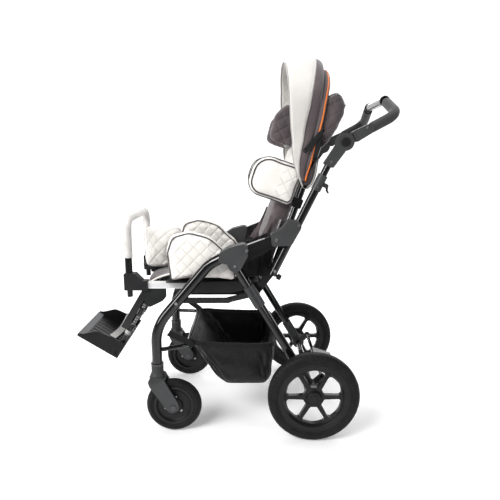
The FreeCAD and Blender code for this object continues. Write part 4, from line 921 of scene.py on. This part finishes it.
def lap_belt():
    """Webbing from both sides of the seat to a buckle on the cushion."""
    pad = bpy.data.objects["seat_pad"].data
    for side, sign in SIDES:
        over = [at(-232 - 46 * u, sign * (136 - 104 * u), 560) for u in np.linspace(0, 1, 14)]
        path = softened(on_surface(pad, over, 0.003), 2)
        path = [at(-196, sign * 141, 590), at(-206, sign * 141, 566)] + path
        path = softened(even(path, 0.007), 3)
        normals = [Vector((-0.5, -0.6 * sign, 0.3)) if i < 5 else UP for i in range(len(path))]
        belt = strap_mesh("lap_belt_" + side, path, 0.025, 0.0022, normals)
        piece(belt, "frame", webbing)
        for k, place in enumerate((path[3], path[-4])):
            facing = normals[3] if k == 0 else UP
            slide = buckle_mesh("belt_slide_%s_%d" % (side, k), place + facing.normalized() * 0.002,
                                path[5] - path[2] if k == 0 else path[-3] - path[-6], facing, 34, 20, 6)
            piece(slide, "frame", black_plastic)
    middle = on_surface(pad, [at(-280, 0, 560)], 0.006)[0]
    clasp = buckle_mesh("belt_clasp", middle, ACROSS, UP, 40, 62, 13)
    piece(clasp, "frame", black_plastic)


def buckle_mesh(name, place, along, facing, width, length, thick):
    """Rounded buckle body in millimetres, lying along a strap."""
    along = Vector(along).normalized()
    n = Vector(facing)
    n = (n - along * n.dot(along)).normalized()
    b = along.cross(n)
    corners = [(i * width / 2, k * length / 2) for i, k in ((-1, -1), (1, -1), (1, 1), (-1, 1))]
    outline = rounded(corners, (5, 5, 5, 5), True, 2.0)
    verts = []
    levels = ((1.4, -0.5), (0, -0.25), (0, 0.25), (1.4, 0.5))
    for inset, height in levels:
        lift = n * (height * thick / 1000)
        for p in outline:
            q = p * (1 - inset / (width / 2)) / 1000
            verts.append(Vector(place) + b * q.x + along * q.y + lift)
    mesh = mesh_from(name, verts, loop_faces(len(levels), len(outline)))
    mesh.set_sharp_from_angle(angle=math.radians(35))
    return mesh


hip_guides()
pommel()
seat_cushion()
seat_flap()
lap_belt()


# Back

TRUNK_OUTLINE = ((207, 22), (319, 22), (319, 162), (207, 162))
TRUNK_RADII = (14, 27, 48, 37)


def ahead_of_back(polygon):
    return (polygon.center - BACK_FOOT).dot(BACK_OUT)


def up_the_back(polygon):
    return (polygon.center - BACK_FOOT).dot(BACK_UP)


def back_cushion():
    mesh = inflated("back_pad", islands("back_cushion")[0], 0.006)
    quilt(mesh, BACK_UP, ACROSS, DIAMOND, 0.0026, BACK_OUT)
    pad = piece(mesh, "backrest", light_front, "back_pad")
    trim(mesh, mauve_plain, lambda face: ahead_of_back(face) < 0.034 or up_the_back(face) < 0.30)
    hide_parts("back_cushion")


LUMBAR_LOW, LUMBAR_L = 20, 132


def lumbar_cloth():
    """Loose cloth at both sides of the lower back, creased where the back meets the seat."""
    for side, sign in SIDES:
        def place(u, v):
            n = 12 + (54 + 22 * (1 - u) ** 2) * v
            crease = 3.4 * math.sin(5 * u + 13 * v) + 2.2 * math.sin(9 * u - 21 * v) * v
            gather = 0.4 + 0.6 * math.sin(math.pi * u)
            y = 148 + crease * gather + 4 * math.sin(math.pi * v)
            return on_back(LUMBAR_LOW + LUMBAR_L * u, n, sign * y)

        grid = grid_of(31, 19, place)
        obj = piece(shell_mesh("lumbar_cloth_" + side, grid, 2.0), "backrest", mauve_plain)
        edge = softened([row[6] + ACROSS * (sign * 0.0015) for row in grid[6:]], 2)
        piece(tube_mesh("lumbar_binding_" + side, edge, 0.0028), "backrest", grey_plain)


def rear_drape():
    """Dark cloth from the seat's rear corners up to the armrests, in folds beside the hinge of the back."""
    for side, sign in SIDES:
        def place(u, v):
            x = -228 + 96 * v + 14 * u * (1 - v)
            z = 512 + 112 * u + 34 * u * v
            fold = 3.6 * math.sin(19 * v + 2.5 * u) + 2.0 * math.sin(33 * v - 5 * u)
            return at(x, sign * (160 + fold * (0.5 + 0.5 * u)), z)

        grid = grid_of(25, 29, place)
        obj = piece(shell_mesh("rear_drape_" + side, grid, 1.8), "frame", dark_cloth)


def grown(outline, grow):
    """Corners of a four-sided outline, moved outwards."""
    middle = np.mean(outline, axis=0)
    return [tuple(point + np.copysign(grow, point - middle)) for point in np.array(outline)]


def trunk_supports():
    for side, sign in SIDES:
        node = "trunk_support_" + side
        parts = islands(node)
        mesh = inflated("trunk_pad_" + side, parts[0])
        quilt(mesh, BACK_UP, BACK_OUT, SIDE_PITCH, 0.0030, ACROSS * -sign, 0.0)
        pad = piece(mesh, "trunk_" + side, light_back, "trunk_pad_" + side)
        # Painted light: the outer faces are quilted too, but get the plain light cloth without sewn lines so
        # they look washed out by the light.
        trim(mesh, light_plain, lambda face: face.normal.y * sign > -0.3 and ahead_of_back(face) > 0.078)
        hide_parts(node)
        clamp = mesh_from("trunk_clamp_" + side, *parts[1], False)
        piece(clamp, "trunk_" + side, black_plastic)
        for k, y in enumerate((172, 154)):
            grow = 9 * k
            path = rounded(grown(TRUNK_OUTLINE, grow), [r + grow for r in TRUNK_RADII], True)
            path = [on_back(p.x, p.y, sign * y) for p in path[-3:] + path]
            sewn_piping("trunk_piping_%s_%d" % (side, k), mesh, path, "trunk_" + side)


def head_support():
    parts = islands("head_pad")
    names = ("head_middle", "head_wing_a", "head_wing_b")
    main = None
    for name, part in zip(names, parts):
        middle = abs(np.mean([p.y for p in part[0]])) < 0.02
        mesh = inflated(name, part)
        if middle:
            quilt(mesh, BACK_UP, ACROSS, DIAMOND, 0.0024, BACK_OUT)
        else:
            quilt(mesh, BACK_UP, BACK_OUT, SIDE_PITCH, 0.0026, ACROSS)
        pad = piece(mesh, "head_support", mauve_front if middle else mauve_side, name)
        main = main or pad
    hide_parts("head_pad")


back_cushion()
lumbar_cloth()
rear_drape()
trunk_supports()
head_support()


# Hood

# Arches seen from the front: half width, height over the pivot, corner radius and height of the ends
VISOR = (179, 399, 168, 18)
FOLD_A = (176, 398, 166, 16)
FOLD_B = (175, 370, 164, 16)

# Lean of the hood's edges, in degrees from plumb, at distances from the pivot
VISOR_FRONT = ((14, 58, 140, 236, 326, 400), (-38.0, -27.0, -15.5, -11.3, -9.2, -8.4))
VISOR_BACK = ((14, 39, 60, 100, 135, 232, 371, 400), (-34.0, -25.0, -17.0, -8.0, -3.2, 2.7, 5.9, 6.4))
FOLD_MIDDLE = ((14, 60, 109, 200, 290, 330, 370, 400), (0.0, 5.0, 9.0, 10.2, 10.1, 10.1, 9.7, 9.0))
FOLD_BACK = ((14, 60, 127, 200, 244, 320, 350, 378), (8.0, 13.6, 14.4, 14.0, 13.3, 13.1, 12.4, 11.4))
VISOR_COLUMNS, FOLD_COLUMNS = 14, 12


def lean_of(edge, r):
    return float(np.interp(r, *edge))


def hood_section(half, radius, corner, low):
    """Points of an arch: up one side, over the top and down the other."""
    corners = ((-half, low), (-half, radius), (half, radius), (half, low))
    path = rounded(corners, (0, corner, corner, 0), False, 5.0)
    return even([Vector((p.x, p.y, 0)) for p in path], 6.0)


def arch_shell(name, shape, edges, shifts, thick, columns, puff=0.0, peak=(0.0, 0.0)):
    """Padded cloth band over the head, between two edges whose leans are shifted. Peak is the height that the
    crown gains at its front and rear edge."""
    section = hood_section(*shape)
    rows = len(section)
    crown = 0.6 * shape[1]
    verts = []
    loop = [(k / columns, 1) for k in range(columns + 1)]
    loop += [(k / columns, -1) for k in range(columns, -1, -1)]
    for i, point in enumerate(section):
        ahead = section[min(i + 1, rows - 1)] - section[max(i - 1, 0)]
        outward = Vector((-ahead.y, ahead.x, 0)).normalized()
        first, last = [lean_of(edge, point.y) + shift for edge, shift in zip(edges, shifts)]
        high = max(0, (point.y - crown) / (shape[1] - crown))
        for share, outer in loop:
            lean = first + (last - first) * share
            full = (1 - (2 * share - 1) ** 6) ** 0.5
            rise = puff * (1 - (2 * share - 1) ** 2)
            rise += (peak[0] + (peak[1] - peak[0]) * share) * high
            offset = rise - thick / 2 + outer * full * thick / 2
            verts.append(on_hood(point.y + outward.y * offset, lean, point.x + outward.x * offset))
    return mesh_from(name, verts, loop_faces(rows, len(loop)))


def edge_line(shape, edge, lift):
    """Points along one edge of a band, lifted off it."""
    half, radius, corner, low = shape
    section = hood_section(half + lift, radius + lift, corner + lift, low)
    return [on_hood(p.y, lean_of(edge, p.y), p.x) for p in section]


def hood():
    edges = (VISOR_FRONT, VISOR_BACK)
    visor = arch_shell("hood_visor_cloth", VISOR, edges, (0.0, 0.0), 7.0, VISOR_COLUMNS, 0.0, (-5.0, 6.0))
    # The visor's top is painted darker as painted shade; the trim below gives its underside the light quilted
    # cloth.
    obj = piece(visor, "hood_front", visor_painted_shade_cloth)
    ends = len(visor.polygons) - 2
    around = 2 * VISOR_COLUMNS + 2
    trim(visor, light_side, lambda face: face.index < ends and face.index % around > VISOR_COLUMNS)
    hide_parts("hood_visor")
    for name, edge, lift in (("visor_piping", VISOR_FRONT, -6.0), ("visor_seam", VISOR_BACK, -1.0)):
        piping = tube_mesh(name, edge_line(VISOR, edge, lift), 0.0026)
        piece(piping, "hood_front", grey_plain)

    edges = (VISOR_BACK, FOLD_MIDDLE)
    fold = arch_shell("hood_fold_a", FOLD_A, edges, (-0.6, 0.0), 9.0, FOLD_COLUMNS, 3.5, (4.0, -3.0))
    obj = piece(fold, "hood_middle", mauve_plain)
    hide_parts("hood_canopy")
    edges = (FOLD_MIDDLE, FOLD_BACK)
    fold = arch_shell("hood_fold_b", FOLD_B, edges, (0.2, 1.4), 9.0, FOLD_COLUMNS, 4.0)
    obj = piece(fold, "hood_middle", mauve_plain)
    piping = tube_mesh("hood_orange_piping", edge_line(FOLD_B, FOLD_BACK, 1.6), 0.0032)
    piece(piping, "hood_middle", orange_piping)


ROOT_OUTLINE = ((-19, 78), (-16, 48), (-13, 24), (-8, 5), (0, -6), (9, -7), (19, 2), (28, 18), (34, 40),
                (37, 62), (40, 84))


def hood_roots():
    """Round lower end of the hood at each side, with a light binding."""
    for side, sign in SIDES:
        outline = [HOOD_PIVOT + Vector((x, 0, z)) / 1000 for x, z in ROOT_OUTLINE]
        outline = softened(even(outline, 0.005), 2)
        middle = HOOD_PIVOT + Vector((0.008, 0, 0.034))
        grid = [[p + ACROSS * (sign * 0.1705), middle + (p - middle) * 0.5 + ACROSS * (sign * 0.1715),
                 middle + (p - middle) * 0.02 + ACROSS * (sign * 0.1715)] for p in outline]
        root = shell_mesh("hood_root_" + side, grid, 4.0)
        obj = piece(root, "backrest", mauve_plain)
        line = [p + ACROSS * (sign * 0.1735) for p in outline]
        binding = tube_mesh("hood_root_binding_" + side, line, 0.0030)
        piece(binding, "backrest", grey_plain)


HOOD_TOP_W, HOOD_TOP_R = 0.30, 160
HOOD_TOP_BACK = (556, 10)


def hood_top():
    """Cloth over the head from the top of the back to the front band, hanging slack between them."""
    def place(u, w):
        v = 2 * w - 1
        y = HOOD_TOP_W * 500 * v
        drop = HOOD_TOP_R - math.sqrt(HOOD_TOP_R ** 2 - max(0, abs(y) - 12) ** 2)
        front = on_hood(376 - drop, lean_of(VISOR_BACK, 384) - 0.5, y)
        crease = 2.5 * math.sin(math.pi * u) * math.sin(13 * v + 4 * u)
        sag = (10 * math.sin(math.pi * u) + crease) / 1000
        return on_back(*HOOD_TOP_BACK, y).lerp(front, u) - UP * sag

    grid = grid_of(25, 49, place)
    top = shell_mesh("hood_top_cloth", grid, 1.6)
    obj = bpy.data.objects.new(top.name, top)
    scene.collection.objects.link(obj)
    top.materials.append(mauve_plain)
    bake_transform(obj)


LEAF = ((388, 8), (392, -9), (424, -24), (470, -35), (514, -40), (548, -35), (569, -17), (577, 3),
        (564, 19), (500, 20), (430, 16))


def back_bag():
    """Leaf-shaped padded bag round the upper back tubes, fuller behind, with a zip under its top edge."""
    verts = []
    slices = ((-168, 0.3), (-158, 0.75), (-130, 1.0), (130, 1.0), (158, 0.75), (168, 0.3))
    for y, share in slices:
        for t, n in LEAF:
            drop = 14 * (1 - share) if t > 540 else -10 * (1 - share)
            depth = n if n > -9 else -9 + (n + 9) * (0.4 + 0.6 * share)
            verts.append(on_back(t - drop, depth, y))
    part = (verts, loop_faces(len(slices), len(LEAF)))
    mesh = inflated("bag_shell", part, 0.006, 0.001, 3.0, 0.004)
    quilt(mesh, BACK_UP, ACROSS, DIAMOND, 0.0024, BACK_OUT)
    quilt(mesh, BACK_UP, BACK_OUT, SIDE_PITCH, 0.0018, ACROSS)
    obj = piece(mesh, "backrest", mauve_front, "bag_shell")
    trim(mesh, mauve_side, lambda face: abs(face.normal.y) > 0.6)
    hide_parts("back_bag")
    low, high = on_back(552, -28, -140), on_back(552, -28, 140)
    path = on_surface(mesh, [low.lerp(high, k / 60) + BACK_OUT * -0.04 for k in range(61)], 0.001)
    zip_line = strap_mesh("bag_zip", softened(path, 3), 0.011, 0.0022, BACK_OUT * -1)
    piece(zip_line, "backrest", webbing)


hood()
hood_roots()
hood_top()
back_bag()


# Handle

SLEEVE = ((12.1, -88), (12.9, -88), (12.9, 88), (12.1, 88))
SLEEVE_COLLAR = ((12.1, -6), (14.6, -6), (15.4, -5), (15.4, 5), (14.6, 6), (12.1, 6))


def handle_details():
    """Bright sleeve between the grips, a painted reflection on the black bar, its collars, and bolts up both
    arms.
    """
    bar = points_of(nodes["handle_bar"].data)
    near = np.abs(bar[:, 1])
    ring = bar[near < near.min() + 1e-4]
    x, z = (ring[:, 0].min() + ring[:, 0].max()) / 2, (ring[:, 2].min() + ring[:, 2].max()) / 2
    # The sleeve stands in for a painted reflection along the black crossbar.
    sleeve = lathe_mesh("handle_painted_reflection_sleeve", (x, 0, z), ACROSS, SLEEVE, 48)
    piece(sleeve, "handle", painted_reflection_sleeve)
    for side, sign in SIDES:
        collar = lathe_mesh("handle_collar_" + side, (x, sign * 0.094, z), ACROSS, SLEEVE_COLLAR, 48)
        piece(collar, "handle", black_plastic)
        bolt_on("arm_bolt_" + side, "handle_castings", "handle", at(142, 0, 970.5), sign)
        bolt_on("housing_bolt_" + side, "pivot_housings", "handle_tubes", at(38, 0, 872), sign)
        bolt_on("clamp_bolt_" + side, "height_clamps", "frame", at(3, 0, 800), sign, 3.6)


handle_details()


# Knobs, wheels and footrest

def post_knobs():
    """Clamping knob behind the foot of each handle post."""
    profile = ((0.1, -6), (4, -6), (4, 4), (8, 5), (9, 7), (9, 15), (8, 17), (0.1, 17.5))
    for side, sign in SIDES:
        knob = lathe_mesh("post_knob_" + side, at(-120, sign * 205, 524), (0.9, 0, -0.44), profile)
        piece(knob, "frame", black_plastic)


SCREW_HEAD = ((0.1, -0.6), (4.6, -0.6), (4.6, 0.8), (3.8, 1.5), (2.0, 1.6), (2.0, 0.5), (0.1, 0.5))
SCREW_CIRCLE = 0.029


def wheel_details():
    """Screws on both faces of the caster rims."""
    for side, sign in SIDES:
        rim = "caster_rim_" + side
        low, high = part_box(rim)
        for k, turn in enumerate((80, 200, 320)):
            a = math.radians(turn)
            place = (low + high) / 2 + Vector((math.cos(a), 0, math.sin(a))) * SCREW_CIRCLE
            for face in (-1, 1):
                name = "caster_screw_%s_%d_%d" % (side, k, face + 1)
                start = place + ACROSS * (face * 0.05)
                head_on(name, rim, "caster_wheel_" + side, start, face, SCREW_HEAD, 24)


def footrest_details():
    """Collars on the rods, ribs on the footplate, its toe edge and the heel strap."""
    for side, sign in SIDES:
        place = HANGER_PIVOT + HANGER_DOWN * 0.1605 + ACROSS * (sign * 0.104)
        profile = ((8.5, -7), (9.6, -7), (10.4, -6), (10.4, 6), (9.6, 7), (8.5, 7))
        collar = lathe_mesh("rod_collar_" + side, place, HANGER_DOWN, profile, 40)
        piece(collar, "footrest", pale_plastic)
    corners = []
    for rise in (4.4, 7.0):
        corners += [on_tray(a, rise, y) for a, y in ((134, -115), (157, -115), (157, 115), (134, 115))]
    edge = mesh_from("toe_edge", *block_part(corners), False)
    piece(edge, "foot_tray", lip_plastic)
    ribs = 9
    for k in range(ribs):
        y = -88 + 176 * k / (ribs - 1)
        path = [on_tray(a, 5.2, y) for a in (32, 60, 100, 130)]
        rib = tube_mesh("sole_rib_%d" % k, path, 0.0032, 8, 0.5, TRAY_RISE)
        piece(rib, "foot_tray", tray_plastic)
    run = [on_tray(51 - 8 * math.cos(v * math.pi / 2), 60 - 7 * math.cos(v * math.pi / 2), 114.5 * v)
           for v in np.linspace(-1, 1, 41)]
    strap = strap_mesh("heel_strap", run, 0.022, 0.0024, TRAY_RISE)
    obj = piece(strap, "foot_tray", grey_plain)
    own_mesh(obj)


post_knobs()
wheel_details()
footrest_details()


# Basket

HANGER_POINTS = ((-388, 171, 276), (-398, 176, 292), (-440, 190, 318), (-462, 197, 333))


def basket():
    """Nylon tub: rounded lower corners, creased walls and a rim that dips between its hangers."""
    half, bottom, top, power = 176, 143, 287, 0.24
    rows, around = 34, 240
    verts = []
    for i in range(rows + 1):
        rise = i / rows
        z = bottom + (top - bottom) * rise
        front = -300 - 102 * rise
        rear = -130 + 18 * rise
        pull = 1 - (1 - min(1, rise / 0.2)) ** 2
        for k in range(around):
            a = 2 * math.pi * (k + 0.5) / around
            c, s = math.cos(a), math.sin(a)
            u = math.copysign(abs(c) ** power, c)
            v = math.copysign(abs(s) ** power, s)
            x = (front + rear) / 2 + (rear - front) / 2 * u * (0.90 + 0.10 * pull)
            y = half * v * (0.955 + 0.045 * pull)
            loose = math.sin(math.pi * min(1, rise * 1.15)) ** 0.7 if rise < 0.87 else 0.0
            crease = 3.0 * math.sin(7 * a + 3 * rise) + 2.2 * math.sin(17 * a - 5 * rise)
            crease += 1.2 * math.sin(31 * a + 11 * rise + 2 * math.sin(3 * a))
            belly = crease * (0.25 + 0.75 * loose) * pull - 1.5
            dip = -7.0 * rise ** 3 * (1 - u * u * v * v)
            tilt = (5 - 10 * (x - front) / (rear - front)) * rise
            verts.append(at(x + belly * c, y + belly * s, z + dip + tilt))
    faces = grid_faces(rows + 1, around, True)
    faces.append(list(range(around))[::-1])
    shell = mesh_from("basket_cloth", verts, faces)
    obj = piece(shell, "frame", basket_nylon)
    thick = obj.modifiers.new("thick", "SOLIDIFY")
    thick.thickness = 0.0022
    thick.offset = -1
    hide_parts("basket")
    middle = at(-256, 0, 0)
    loop = verts[rows * around:] + verts[rows * around:rows * around + 1]
    outward = [Vector((v.x - middle.x, v.y, 0)) for v in loop]
    hem = strap_mesh("basket_hem", loop, 0.016, 0.0035, outward)
    piece(hem, "frame", webbing)
    for side, sign in SIDES:
        path = [at(x, sign * y, z) for x, y, z in HANGER_POINTS]
        path = softened(even(path, 0.006), 3)
        hanger = strap_mesh("basket_hanger_" + side, path, 0.020, 0.0022, Vector((-0.3, sign, 0.2)))
        piece(hanger, "frame", webbing)


basket()
